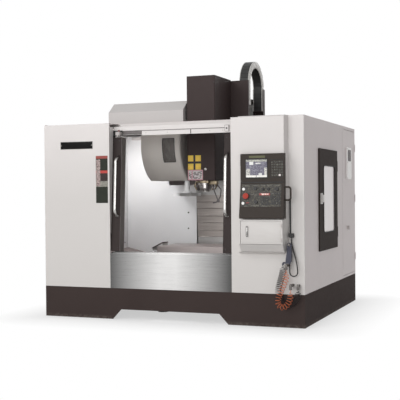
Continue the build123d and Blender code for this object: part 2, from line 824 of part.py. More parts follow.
def pot_at_side():
    # A tool pot lying along X, placed one pot circle radius out along Y, its neck at the hinge
    shoulder = station_x - 16
    mouth = shoulder - pot_length
    pot = rod_x(pot_radius, mouth, shoulder, pot_circle_radius, 0)
    pot += rod_x(pot_neck_radius, shoulder - 1, station_x + 12, pot_circle_radius, 0)
    pin_half = pot_neck_radius + seat_gap + pot_ear_thickness
    pot += rod_z(pot_pin_radius, station_x, pot_circle_radius, -pin_half, pin_half)
    depth = pot_length - 8
    pot -= Pos(mouth + depth / 2 - 0.5, pot_circle_radius, 0) * Rot(0, 90, 0) * Cone(
        taper_large_radius, 13.5, depth + 1)
    return pot


def pot_ears():
    # The two ears that hold a pot's neck
    x1 = disc_x - disc_thickness / 2 + 1
    ears = None
    for side in (-1, 1):
        inner = side * (pot_neck_radius + seat_gap)
        outer = inner + side * pot_ear_thickness
        ear = block(station_x - 10, x1, pot_circle_radius - 10, pot_circle_radius + 10,
                    min(inner, outer), max(inner, outer))
        ear -= rod_z(pot_pin_radius + seat_gap, station_x, pot_circle_radius,
                     min(inner, outer) - 1, max(inner, outer) + 1)
        ears = ear if ears is None else ears + ear
    return ears


def station_pot():
    # The pot over the change station, hinged so that it can swing down to point at the arm
    pot = Pos(0, magazine_y, magazine_z) * Rot(-90, 0, 0) * pot_at_side()
    return [pot]


def arm_shaft():
    shaft = rod_z(arm_shaft_radius, arm_pivot_x, arm_pivot_y, arm_bottom + arm_thickness + seat_gap, 1720)
    collar = rod_z(52, arm_pivot_x, arm_pivot_y, arm_bottom + arm_thickness + seat_gap,
                   arm_bottom + arm_thickness + 24)
    pin = rod_z(14, arm_pivot_x, arm_pivot_y, arm_bottom - 12, arm_bottom + arm_thickness + 10)
    return [shaft + collar + pin]


def change_arm():
    # Double arm with a grip at each end, parked along Y
    half = arm_half_length
    grip = 46.0
    body = rod_z(48, 0, 0, 0, arm_thickness)
    body += prism_xy([(-30, -half + 30), (30, -half + 30), (44, 0), (30, half - 30), (-30, half - 30), (-44, 0)],
                     0, arm_thickness)
    for end in (-1, 1):
        y = end * half
        body += rod_z(grip, 0, y, 0, arm_thickness)
        body -= rod_z(32, 0, y, -1, arm_thickness + 1)
        mouth = 26.0 * end
        body -= block(min(0, mouth * 2), max(0, mouth * 2), y - 24, y + 24, -1, arm_thickness + 1)
    body -= rod_z(14 + running_gap, 0, 0, -1, arm_thickness + 1)
    return [Pos(arm_pivot_x, arm_pivot_y, arm_bottom) * body]


def magazine_roof_cover():
    outline = [(roof_cover_front, enclosure_height), (roof_cover_front, roof_cover_fold),
               (roof_cover_slope_end, roof_cover_top), (roof_cover_back, roof_cover_top),
               (roof_cover_back, enclosure_height)]
    wall = sheet
    inner = [(roof_cover_front + wall, enclosure_height - 1), (roof_cover_front + wall, roof_cover_fold - 2),
             (roof_cover_slope_end + 2, roof_cover_top - wall), (roof_cover_back - wall, roof_cover_top - wall),
             (roof_cover_back - wall, enclosure_height - 1)]
    shell = prism_yz(outline, roof_cover_left, roof_cover_right)
    shell -= prism_yz(inner, roof_cover_left + wall, roof_cover_right - wall)
    return [shell]


# Enclosure

def base_skirt():
    ring = block(0, enclosure_width, 0, enclosure_depth, floor_gap, skirt_height)
    wall = 6.0
    ring -= block(wall, enclosure_width - wall, wall, enclosure_depth - wall, floor_gap - 1, skirt_height + 1)
    front_lip = block(0, enclosure_width, 0, 60, skirt_height - wall, skirt_height)
    ring += front_lip
    notch = prism_xz([(notch_bottom_left, floor_gap - 1), (notch_bottom_right, floor_gap - 1),
                      (notch_bottom_right - notch_slope, floor_gap + notch_height),
                      (notch_bottom_left + notch_slope, floor_gap + notch_height)], -1, wall + 1)
    ring -= notch
    rear_gate = block(tank_left - 0.5, tank_right + 0.5, enclosure_depth - wall - 1, enclosure_depth + 1,
                      floor_gap - 1, skirt_height - 8)
    ring -= rear_gate
    return [ring]


def left_front_panel():
    # Folded sheet: the face, a return at the door opening and one along the top
    section = folded_section([(left_panel_width, 18.0), (left_panel_width, 0.0), (0.0, 0.0), (0.0, 18.0)], sheet)
    face = prism_xy(section, skirt_height, enclosure_height - 8)
    top = block(sheet, left_panel_width - sheet, 0, lip, enclosure_height - 8 - sheet, enclosure_height - 8)
    return [face + top]


def right_front_panel():
    section = folded_section([(enclosure_width, 18.0), (enclosure_width, 0.0), (right_panel_left, 0.0),
                              (right_panel_left, 18.0)], sheet)
    face = prism_xy(section, skirt_height, enclosure_height)
    top = block(right_panel_left + sheet, enclosure_width - sheet, 0, lip, enclosure_height - sheet, enclosure_height)
    return [face + top]


def side_and_rear_panels():
    inner_x = enclosure_width - sheet
    left = block(0, sheet, 18.0, enclosure_depth, skirt_height, enclosure_height)
    left += block(sheet, lip, enclosure_depth - sheet, enclosure_depth, skirt_height, enclosure_height)
    right = block(inner_x, enclosure_width, 18.0, cabinet_front - 4, skirt_height, enclosure_height)
    margin = 12.0
    right -= block(inner_x - 1, enclosure_width + 1, side_door_front + margin, side_door_rear - margin,
                   side_door_bottom + margin, side_door_top - margin)
    right += block(inner_x, enclosure_width, cabinet_front - 4, enclosure_depth, skirt_height, cabinet_bottom - 4)
    right += block(inner_x, enclosure_width, cabinet_front - 4, enclosure_depth, cabinet_top + 4, enclosure_height)
    right += block(inner_x, enclosure_width, cabinet_rear + 4, enclosure_depth, skirt_height, enclosure_height)
    rear_left = block(lip, spindle_x - bed_half_width - 60, enclosure_depth - sheet, enclosure_depth,
                      skirt_height, enclosure_height)
    rear_left += block(spindle_x - bed_half_width - 64, spindle_x - bed_half_width - 60, enclosure_depth - 160,
                       enclosure_depth, skirt_height, enclosure_height)
    rear_right = block(spindle_x + bed_half_width + 60, inner_x, enclosure_depth - sheet, enclosure_depth,
                       skirt_height, enclosure_height)
    rear_right += block(spindle_x + bed_half_width + 60, spindle_x + bed_half_width + 64, enclosure_depth - 160,
                        enclosure_depth, skirt_height, enclosure_height)
    cabinet = block(cabinet_left, inner_x, cabinet_front - 4, enclosure_depth - sheet, cabinet_bottom - 4,
                    cabinet_top + 4)
    cabinet -= block(cabinet_left + sheet, inner_x + 1, cabinet_front, enclosure_depth - 2 * sheet,
                     cabinet_bottom, cabinet_top)
    roof_z = enclosure_height - sheet
    roof_front = beam_front + beam_depth
    ledge = 20.0
    well_left = spindle_x - 400
    well_right = wing_right + 40
    roof_left = block(sheet, roof_cover_left + ledge, roof_front, enclosure_depth - sheet, roof_z, enclosure_height)
    above_axis = min(roof_z - magazine_z, magazine_radius)
    back_edge = magazine_y + math.sqrt(magazine_radius ** 2 - above_axis ** 2) + seat_gap
    roof_left += block(roof_cover_left, well_left, back_edge, enclosure_depth - sheet,
                       roof_z, enclosure_height)
    roof_left += block(roof_cover_left, well_left, roof_front, roof_cover_front + ledge, roof_z, enclosure_height)
    roof_right = block(well_right, inner_x, roof_front, enclosure_depth - sheet, roof_z, enclosure_height)
    roof_right += block(well_left, well_right + 1, roof_front, roof_cover_front, roof_z, enclosure_height)
    return [left, right, rear_left, rear_right, cabinet, roof_left, roof_right]


def top_beam():
    # Folded beam over the opening: a leaning upper band, a groove, and the rail cover below it
    left = left_panel_width + 0.5
    right = right_panel_left - 0.5
    groove_top = beam_bottom + beam_groove
    cover_top = beam_bottom + rail_cover_height
    back = beam_front + beam_depth
    upper = prism_yz([(beam_front + 8, groove_top), (beam_front + 12, beam_top), (back, beam_top),
                      (back, enclosure_height - sheet), (back + sheet, enclosure_height - sheet),
                      (back + sheet, groove_top)], left, right)
    band = prism_yz([(beam_front, beam_bottom), (beam_front + 3, cover_top), (beam_front + 3 + sheet, cover_top),
                     (beam_front + sheet, beam_bottom)], rail_cover_left, right)
    band += block(rail_cover_left, right, beam_front + 3, beam_front + 24, cover_top, groove_top)
    wide_left = liner_left
    wide_right = liner_right
    rail_y = door_top_y() + 30
    rail = block(wide_left, wide_right, rail_y, rail_y + 40, door_top_z() + hanger_height, groove_top)
    box = bracket_box()
    return [upper + rail, band, box]


def bracket_box():
    bottom = beam_bottom + 12
    return block(bracket_left, bracket_left + bracket_width, beam_front - bracket_depth, beam_front,
                 bottom, bottom + bracket_height)


def door_top_z():
    return door_bottom + door_height * math.cos(math.radians(door_lean))


def door_top_y():
    return door_front + door_height * math.sin(math.radians(door_lean))


def sill_cover():
    profile = [(0.0, skirt_height), (0.0, sill_top), (sill_depth, sill_top), (sill_depth, tray_inner_height)]
    body = prism_yz(folded_section(profile, sheet), left_panel_width, right_panel_left)
    for y in (door_front + 8, door_front + door_thickness - 12):
        body += block(left_panel_width, right_panel_left, y, y + 4, sill_top, sill_top + 12)
    return [body]


def interior_liner():
    pieces = []
    left = block(liner_left - sheet, liner_left, liner_front, back_wall_y, tray_outer_height, liner_top)
    pieces.append(left)
    right = block(liner_right, liner_right + sheet, liner_front, back_wall_y, tray_outer_height, liner_top)
    margin = 12.0
    opening = block(liner_right - 1, enclosure_width, side_door_front + margin, side_door_rear - margin,
                    side_door_bottom + margin, side_door_top - margin)
    right -= opening
    duct = block(liner_right + sheet, enclosure_width - sheet, side_door_front + margin - sheet,
                 side_door_rear - margin + sheet, side_door_bottom + margin - sheet, side_door_top - margin + sheet)
    duct -= opening
    pieces.append(right + duct)
    wall_bottom = tray_inner_height
    back_left = block(liner_left - sheet, column_cover_left - 5, back_wall_y, back_wall_y + sheet,
                      wall_bottom, liner_top)
    back_left -= block(magazine_left - 10, column_cover_left, back_wall_y - 1, back_wall_y + sheet + 1,
                       magazine_cut_z - 50, liner_top + 1)
    back_left += block(column_cover_left - 9, column_cover_left - 5, back_wall_y + sheet, column_front,
                       wall_bottom + 80, 1450)
    pieces.append(back_left)
    back_right = block(column_cover_right + 5, liner_right + sheet, back_wall_y, back_wall_y + sheet,
                       wall_bottom, liner_top)
    back_right += block(column_cover_right + 5, column_cover_right + 9, back_wall_y + sheet, column_front,
                        wall_bottom + 80, 1450)
    pieces.append(back_right)
    pieces.append(fixed_cover_plate())
    return pieces


def chip_pan():
    pieces = []
    bed_left = spindle_x - bed_half_width
    bed_right = spindle_x + bed_half_width
    saddle_left = spindle_x - saddle_width / 2
    saddle_right = spindle_x + saddle_width / 2
    left = folded_section([(liner_left, tray_outer_height), (saddle_left - 20, tray_inner_height + 16),
                           (bed_left, tray_inner_height - 60)], sheet)
    pieces.append(prism_xz(left, sill_depth, back_wall_y))
    right = folded_section([(liner_right, tray_outer_height), (saddle_right + 20, tray_inner_height + 16),
                            (bed_right, tray_inner_height - 60)], -sheet)
    pieces.append(prism_xz(right, sill_depth, back_wall_y))
    inner_half = rail_pitch / 2 - 60
    for x0, x1 in ((spindle_x - inner_half, spindle_x - 70), (spindle_x + 70, spindle_x + inner_half)):
        pieces.append(block(x0, x1, bed_front + 120, column_front - 80, bed_top, bed_top + 6))
    return pieces


# Sliding doors

def lean(shape):
    return Pos(0, door_front, door_bottom) * Rot(-door_lean, 0, 0) * shape


def door_leaf(x0):
    # Pressed frame with deep returns, open at the back, window opening in the face
    leaf = block(x0, x0 + door_width, 0, door_thickness, 0, door_height)
    leaf -= block(x0 + sheet, x0 + door_width - sheet, sheet, door_thickness + 1, sheet, door_height - sheet)
    cx = x0 + door_width / 2
    z0 = (door_height - door_window_height) / 2 + 60
    leaf -= rounded_xz(cx - door_window_width / 2, cx + door_window_width / 2, z0, z0 + door_window_height, 40,
                       -1, sheet + 1)
    leaf += window_frame(cx, z0)
    tilt = math.radians(door_lean)
    hanger_front = 36.0
    reach = (hanger_height - seat_gap + hanger_front * math.sin(tilt)) / math.cos(tilt)
    for dx in (120.0, door_width - 180.0):
        leaf += block(x0 + dx, x0 + dx + 60, hanger_front, hanger_front + 40, door_height - 1, door_height + reach)
    return lean(leaf)


def window_frame(cx, z0):
    rim = 30.0
    outer = rounded_xz(cx - door_window_width / 2 - rim, cx + door_window_width / 2 + rim, z0 - rim,
                       z0 + door_window_height + rim, 60, sheet, sheet + pane_thickness + 6)
    inner = rounded_xz(cx - door_window_width / 2 - 12, cx + door_window_width / 2 + 12, z0 - 12,
                       z0 + door_window_height + 12, 48, sheet, sheet + pane_thickness + 7)
    return outer - inner


def door_pane(x0):
    cx = x0 + door_width / 2
    z0 = (door_height - door_window_height) / 2 + 60
    inset = 12.0 - seat_gap
    pane = rounded_xz(cx - door_window_width / 2 - inset, cx + door_window_width / 2 + inset, z0 - inset,
                      z0 + door_window_height + inset, 47, sheet + 0.2, sheet + pane_thickness)
    return lean(pane)


def bow_handle(x, z0, z1):
    # Oval bar bow with long bends and two feet on the door face
    path = FilletPolyline((x, 0, z0), (x, -handle_reach, z0 + handle_bend), (x, -handle_reach, z1 - handle_bend),
                          (x, 0, z1), radius=handle_bend)
    start = Vector(0, -handle_reach, handle_bend).normalized()
    plane = Plane(origin=(x, 0, z0), x_dir=(1, 0, 0), z_dir=start)
    bar = sweep(plane * Ellipse(handle_half_width, handle_half_depth), path=path)
    bar -= block(x - 50, x + 50, 0, 60, z0 - 60, z1 + 60)
    foot_half = handle_half_depth + 8
    for z in (z0, z1):
        bar += rounded_xz(x - handle_half_width - 2, x + handle_half_width + 2, z - foot_half, z + foot_half, 8, -6, 0)
    return lean(bar)


left_door_x = left_panel_width + door_overhang - door_width
right_door_x = right_panel_left - door_overhang
handle_bottom = 385.0
handle_top = 1075.0
handle_inset = 40.0
handle_reach = 72.0
handle_bend = 60.0
handle_half_width = 16.0
handle_half_depth = 9.0


# Side door, cabinet door and main switch

def side_door():
    x0 = enclosure_width + seat_gap
    x1 = x0 + side_door_thickness
    frame = rounded_yz(side_door_front, side_door_rear, side_door_bottom, side_door_top, 12, x0, x1)
    frame -= rounded_yz(side_window_front, side_window_rear, side_window_bottom, side_window_top,
                        side_window_corner, x0 - 1, x1 + 1)
    seat = rounded_yz(side_window_front - side_window_seat, side_window_rear + side_window_seat,
                      side_window_bottom - side_window_seat, side_window_top + side_window_seat,
                      side_window_corner + 10, x0 - 1, x0 + 7)
    frame -= seat
    handle = rounded_yz(side_handle_front, side_handle_rear, side_handle_bottom, side_handle_top, 12, x1, x1 + 8)
    handle += rounded_yz(side_handle_front + 14, side_handle_rear - 14, side_handle_bottom + 18,
                         side_handle_top - 18, 10, x1 + 8, x1 + side_handle_reach)
    handle -= rounded_yz(side_handle_front + 28, side_handle_rear + 1, side_handle_bottom + 32,
                         side_handle_top - 32, 8, x1 + 12, x1 + side_handle_reach - 6)
    hinge_y = side_door_rear + side_hinge_radius
    barrel = 120.0
    body = frame + handle
    for z in (side_door_bottom + barrel, side_door_top - 2 * barrel):
        body += rod_z(side_hinge_radius, x0 + side_hinge_radius, hinge_y, z, z + barrel)
        body += block(x0 + 4, x0 + 12, side_door_rear - 4, hinge_y, z, z + barrel)
    return [body]


def side_door_window():
    x0 = enclosure_width + seat_gap
    edge = side_window_seat - seat_gap
    pane = rounded_yz(side_window_front - edge, side_window_rear + edge, side_window_bottom - edge,
                      side_window_top + edge, side_window_corner + 10 - seat_gap, x0 + 0.2, x0 + 6.8)
    return [pane]


def cabinet_door():
    x1 = enclosure_width
    x0 = enclosure_width - sheet
    gap = 3.0
    body = block(x0, x1, cabinet_front + gap, cabinet_rear - gap, cabinet_bottom + gap, cabinet_top - gap)
    for y in (cabinet_front + gap, cabinet_rear - gap - sheet):
        body += block(x0 - 20, x0, y, y + sheet, cabinet_bottom + gap, cabinet_top - gap)
    unit = rounded_yz(vent_front, vent_rear, vent_bottom, vent_top, 14, x1, x1 + vent_reach)
    slot_count_here = 5
    for i in range(slot_count_here):
        z = vent_top - 60 - i * 22
        unit -= rounded_yz(vent_front + 24, vent_rear - 24, z, z + 12, 5, x1 + 4, x1 + vent_reach + 1)
    hinge_r = 4.0
    for z in (cabinet_bottom + 150, (cabinet_bottom + cabinet_top) / 2, cabinet_top - 250):
        body += rod_z(hinge_r, x1 + hinge_r + seat_gap, cabinet_hinge_y, z, z + 90)
        body += block(x1 - 1, x1 + hinge_r + seat_gap, cabinet_rear - gap - 6, cabinet_rear - gap, z, z + 90)
        body += block(x1 + 2, x1 + 6, cabinet_rear - gap - 1, cabinet_hinge_y, z, z + 90)
    body -= rod_x(8.5, x0 - 1, x1 + 1, switch_y, switch_z)
    return [body, unit]


def main_switch():
    x1 = enclosure_width
    plate = rod_x(8, x1 - 30, x1 + 3, switch_y, switch_z)
    knob = rod_x(switch_radius, x1 + seat_gap, x1 + 12, switch_y, switch_z)
    knob += rounded_yz(switch_y - 7, switch_y + 7, switch_z - switch_radius, switch_z + switch_radius, 5,
                       x1 + 12, x1 + 26)
    return [plate + knob]


# Operator side

def console_module():
    # Bulged cover on the right panel: side walls lean in, a bevel closes it at the bottom
    return [console_form(0.0) - console_form(sheet)]


def console_form(inset):
    # The outside of the cover, or the space inside it when set in by the sheet
    top = enclosure_height - inset
    front = console_front + inset
    rear = 1.0 if inset else 0.0
    outline = [(rear, top), (front + console_fold, top), (front, top - console_fold),
               (front, console_bottom + console_bevel + inset), (rear, console_bottom + inset)]
    slope = console_side_slope * (rear - front) / (-console_front)
    plan = [(console_left + inset - slope, rear), (console_left + inset, front),
            (console_right - inset, front), (console_right - inset + slope, rear)]
    wide = prism_yz(outline, console_left - 100, console_right + 100)
    return wide & prism_xy(plan, console_bottom - 100, enclosure_height + 100)


def operator_front_at(z):
    # Depth of the operator box face: upright above the split, tipped out below it
    if z >= operator_split:
        return operator_front
    share = (operator_split - z) / (operator_split - operator_bottom)
    return operator_front + (operator_foot_front - operator_front) * share


lower_tilt = math.degrees(math.atan2(operator_front - operator_foot_front, operator_split - operator_bottom))


def operator_box():
    foot_top = operator_bottom + operator_chamfer
    outline = [(operator_back, operator_bottom), (operator_foot_front + operator_chamfer, operator_bottom),
               (operator_front_at(foot_top), foot_top), (operator_front, operator_split),
               (operator_front, operator_top - 8), (operator_front + 8, operator_top), (operator_back, operator_top)]
    body = prism_yz(outline, operator_left, operator_right)
    body -= rounded_xz(screen_left - 12, screen_right + 12, screen_bottom - 12, screen_top + 12, 8,
                       operator_front - 1, operator_front + 10)
    for x, z, radius in control_bores():
        body -= control_tool(x, z, radius, 26.0, -1.0)
    x = operator_right
    y = (operator_back + operator_front) / 2 - 8
    path = FilletPolyline((x - 4, y, grab_bottom), (x + grab_reach, y, grab_bottom), (x + grab_reach, y, grab_top),
                          (x - 4, y, grab_top), radius=grab_bend)
    plane = Plane(origin=(x - 4, y, grab_bottom), z_dir=(1, 0, 0))
    bar = sweep(plane * Circle(grab_radius), path=path)
    body += bar
    for z in (operator_bottom + 60, operator_top - 120):
        barrel = rod_z(hinge_radius, operator_left - hinge_radius, operator_back - hinge_radius, z, z + 60)
        leaf = block(operator_left - hinge_radius, operator_left + 2, operator_back - hinge_radius - 3,
                     operator_back - hinge_radius + 3, z, z + 60)
        body += barrel + leaf
    return [body]


def control_bores():
    bores = [(stop_x, stop_z, 12.4), (button_x, button_upper_z, button_radius - 3 + 0.4),
             (button_x, button_lower_z, button_radius - 3 + 0.4)]
    for x, z in knob_places:
        bores.append((x, z, 6.4))
    return bores


plate_thickness = 2.0


def control_tool(x, z, radius, depth, above):
    # A cylinder square to the sloping lower face, from above it down to a depth inside
    y = operator_front_at(z)
    shape = Pos(0, 0, (above + depth) / 2) * Cylinder(radius, depth - above)
    return Pos(x, y, z) * Rot(-90 - lower_tilt, 0, 0) * shape


def control_stack(x, z, *steps):
    # Stacked discs on one axis: each step is (radius, from, to), measured inwards from the face
    body = None
    for radius, start, end in steps:
        shape = Pos(0, 0, (start + end) / 2) * Cylinder(radius, end - start)
        body = shape if body is None else body + shape
    return Pos(x, operator_front_at(z), z) * Rot(-90 - lower_tilt, 0, 0) * Pos(0, 0, -plate_thickness) * body


def operator_screen():
    y = operator_front
    screen = rounded_xz(screen_left - 11.7, screen_right + 11.7, screen_bottom - 11.7, screen_top + 11.7, 7.7,
                        y - 3, y + 9.7)
    keys = []
    for row in range(key_rows):
        for column in range(key_columns):
            x0 = key_left + column * key_pitch_x
            z0 = key_bottom + row * key_pitch_z
            keys.append(rounded_xz(x0, x0 + key_width, z0, z0 + key_height, 3, y - 3, y))
    centre_x = (plate_left + plate_right) / 2
    centre_z = (plate_bottom + plate_top) / 2
    width = plate_right - plate_left
    height = (plate_top - plate_bottom) / math.cos(math.radians(lower_tilt))
    plane = Plane(origin=(centre_x, operator_front_at(centre_z), centre_z), x_dir=(1, 0, 0),
                  z_dir=(0, -math.cos(math.radians(lower_tilt)), math.sin(math.radians(lower_tilt))))
    plate = extrude(plane * RectangleRounded(width, height, 6), amount=plate_thickness)
    for x, z, radius in control_bores():
        plate -= control_tool(x, z, radius, 5.0, -6.0)
    return [screen, plate] + keys


def emergency_stop():
    return [control_stack(stop_x, stop_z, (12, -9, 17), (17, -16, -8.3), (stop_radius, -28, -15))]


def push_button(z):
    return [control_stack(button_x, z, (button_radius - 3, -1, 20), (button_radius, -10, -4.3), (button_radius - 3, -5, 0))]


def rotary_knob(x, z):
    knob = control_stack(x, z, (6, -2, 20), (knob_radius, -16, -seat_gap))
    return [knob]


def storage_box():
    outline = [(console_front, storage_bevel_bottom), (storage_front + 60, storage_bevel_bottom + 8),
               (storage_front, storage_bottom), (storage_front, storage_top), (console_front, storage_top)]
    body = prism_yz(outline, storage_left, storage_right)
    inner = [(console_front + 1, storage_bottom), (storage_front - 1, storage_bottom),
             (storage_front - 1, storage_top - storage_wall), (console_front + 1, storage_top - storage_wall)]
    body -= prism_yz(inner, storage_left + storage_wall, storage_right - storage_wall)
    return [body]


def storage_door():
    gap = 2.0
    y0 = storage_front + storage_door_inset
    top = storage_top - storage_wall - gap
    body = block(storage_left + storage_wall + gap, storage_hinge_x, y0, y0 + storage_door_thickness,
                 storage_bottom + gap, top)
    latch_middle = (storage_top + storage_bottom) / 2 + 6
    body += rounded_xz(storage_left + 26, storage_left + 56, latch_middle - 56, latch_middle + 56, 8, y0 - 14, y0)
    barrel = 40.0
    for z in (storage_bottom + 26, top - 24 - barrel):
        body += rod_z(storage_barrel_radius, storage_hinge_x, storage_hinge_y, z, z + barrel)
        body += block(storage_hinge_x - 6, storage_hinge_x, storage_hinge_y, y0 + 1, z, z + barrel)
    return [body]


# Hanging air gun and hoses

def coolant_tank():
    body = block(tank_left, tank_right, tank_front, tank_rear, tank_bottom, tank_top)
    body -= block(tank_left + tank_wall, tank_right - tank_wall, tank_front + tank_wall, tank_rear - tank_wall,
                  tank_bottom + tank_wall, tank_top - tank_wall)
    lid_gap = block(tank_left + 200, tank_left + 800, tank_rear - 190, tank_rear - 40, tank_top - 6, tank_top + 1)
    body -= lid_gap
    for x in (tank_left + 100, tank_right - 100):
        for y in (tank_front + 60, tank_rear - 60):
            half = tank_wheel_width / 2
            body += rod_x(tank_wheel_radius, x - half, x + half, y, tank_wheel_radius)
            for side in (-1, 1):
                cheek = x + side * (half + 3)
                body += block(cheek - 3.5, cheek + 3.5, y - 16, y + 16, tank_wheel_radius - 8, tank_bottom + 1)
    pump_x = tank_right - 320
    pump_y = tank_rear - 100
    pump = rod_z(pump_radius, pump_x, pump_y, tank_top, tank_top + pump_height)
    pump += rod_z(pump_radius - 20, pump_x, pump_y, tank_top + pump_height, tank_top + pump_height + 30)
    pump += block(pump_x - 40, pump_x + 40, pump_y - 95, pump_y - 65, tank_top + 60, tank_top + 150)
    return [body, pump]


def tube_along(points, radius):
    # Straight runs joined by tangent arcs, each as large as its two runs allow
    radii = []
    for i in range(1, len(points) - 1):
        before = Vector(*points[i]) - Vector(*points[i - 1])
        after = Vector(*points[i + 1]) - Vector(*points[i])
        turn = math.radians(before.get_angle(after))
        radii.append(0.45 * min(before.length, after.length) / math.tan(turn / 2))
    path = FilletPolyline(*points, radius=radii)
    start = Vector(*points[1]) - Vector(*points[0])
    plane = Plane(origin=points[0], z_dir=start.normalized())
    tube = sweep(plane * Circle(radius), path=path)
    return tube


gun_y = -70.0
gun_left = 2890.0
gun_hose_x = gun_left + 40
gun_eye_x = gun_left + 40
gun_eye_z = 862.0
# The hose from the clamp swings out and turns up into the gun round a half circle in eight-sided corners
hose_bend = 40.0
hose_bend_x = gun_hose_x + hose_bend
hose_bend_z = 584.0
hose_corner = hose_bend * math.tan(math.radians(22.5))
black_hose_route = ((2939.0, -34.0, 940.0), (2939.0, -34.0, 893.0), (2950.0, -34.0, 840.0),
                    (2966.0, -35.0, 786.0), (2981.0, -38.0, 733.0), (2995.0, -42.0, 684.0),
                    (3004.0, -46.0, 636.0), (hose_bend_x + hose_bend, -50.0, hose_bend_z - hose_corner),
                    (hose_bend_x + hose_corner, -56.0, hose_bend_z - hose_bend),
                    (hose_bend_x - hose_corner, -62.0, hose_bend_z - hose_bend),
                    (gun_hose_x, -68.0, hose_bend_z - hose_corner), (gun_hose_x, gun_y, 626.0),
                    (gun_hose_x, gun_y, 668.0))
dark_coil_route = ((2858.0, gun_y, 655.0), (2858.0, gun_y, 606.0), (2846.0, -62.0, 552.0),
                   (2826.0, -54.0, 494.0), (2806.0, -50.0, 434.0), (2798.0, -48.0, 374.0),
                   (2808.0, -46.0, 316.0), (2840.0, -45.0, 266.0), (2894.0, -44.0, 242.0),
                   (2948.0, -44.0, 256.0), (2988.0, -44.0, 296.0), (3009.0, -44.0, 350.0),
                   (3009.0, -44.0, 404.0))
orange_coil_route = ((2946.0, -99.0, 408.0), (2946.0, -99.0, 354.0), (2938.0, -99.0, 302.0),
                     (2914.0, -99.0, 256.0), (2876.0, -99.0, 226.0), (2836.0, -99.0, 228.0),
                     (2812.0, -99.0, 262.0), (2812.0, -99.0, 308.0), (2828.0, -99.0, 356.0),
                     (2852.0, -99.0, 408.0), (2878.0, -99.0, 462.0), (2898.0, -98.0, 514.0),
                     (2900.0, -98.0, 564.0), (2900.0, -98.0, 612.0))


def hose_fittings():
    # Hanger strip with its clamp, the gun hook, and the unions that the hoses end in
    strip = block(strip_left, strip_left + strip_width, -strip_thickness, 0, strip_bottom, strip_top)
    clamp_x, clamp_y, clamp_z = black_hose_route[0]
    clamp = block(clamp_x - 22, clamp_x + 22, clamp_y - 16, 0, clamp_z, clamp_z + 42)
    hook = rod_y(5, gun_eye_x, gun_y - 24, 0, gun_eye_z + 7.5) + rod_y(11, gun_eye_x, gun_y - 30, gun_y - 24, gun_eye_z + 7.5)
    pieces = [strip + clamp, hook]
    for route in (dark_coil_route, orange_coil_route[::-1], orange_coil_route):
        x, y, z = route[-1]
        union = rod_z(14, x, y, z, z + 32) + block(x - 13, x + 13, y - 13, 0, z + 30, z + 54)
        pieces.append(union)
    return pieces


def air_gun():
    x = gun_left
    outline = [(x + 22, 880), (x + 36, 888), (x + 54, 880), (x + 62, 860), (x + 58, 838), (x + 62, 760),
               (x + 58, 690), (x + 36, 674), (x + 6, 676), (x, 700), (x + 12, 780), (x + 16, 850)]
    body = prism_xz(outline, gun_y - 16, gun_y + 16)
    body = fillet(body.edges().filter_by(Axis.Y), 4)
    body -= rod_y(13, gun_eye_x, gun_y - 20, gun_y + 20, gun_eye_z)
    body -= block(x - 16, x + 16, gun_y - 5, gun_y + 5, 700, 802)
    hose_x, hose_y, hose_z = black_hose_route[-1]
    inlet = rod_z(10, hose_x, hose_y, hose_z, 680)
    tail_x, tail_y, tail_z = dark_coil_route[0]
    tail = rod_z(10, tail_x, tail_y, tail_z, tail_z + 22)
    tail += block(tail_x, x + 10, gun_y - 8, gun_y + 8, tail_z + 18, tail_z + 34)
    return [body + inlet + tail]


def gun_trigger():
    x = gun_left - 2
    half = 4.5
    lever = prism_xz([(x, 706), (x + 6, 703), (x + 15, 792), (x + 9, 798)], gun_y - half, gun_y + half)
    lever += rod_y(trigger_pin_radius, x + 12, gun_y - half, gun_y + half, trigger_pin_height)
    return [lever]


# Derived frame: the middle of the footprint

reach_right = enclosure_width + seat_gap + side_door_thickness + side_handle_reach
reach_front = operator_front_at(operator_bottom + operator_chamfer)
middle_x = reach_right / 2
middle_y = (reach_front + tank_rear) / 2


# Writing the parts

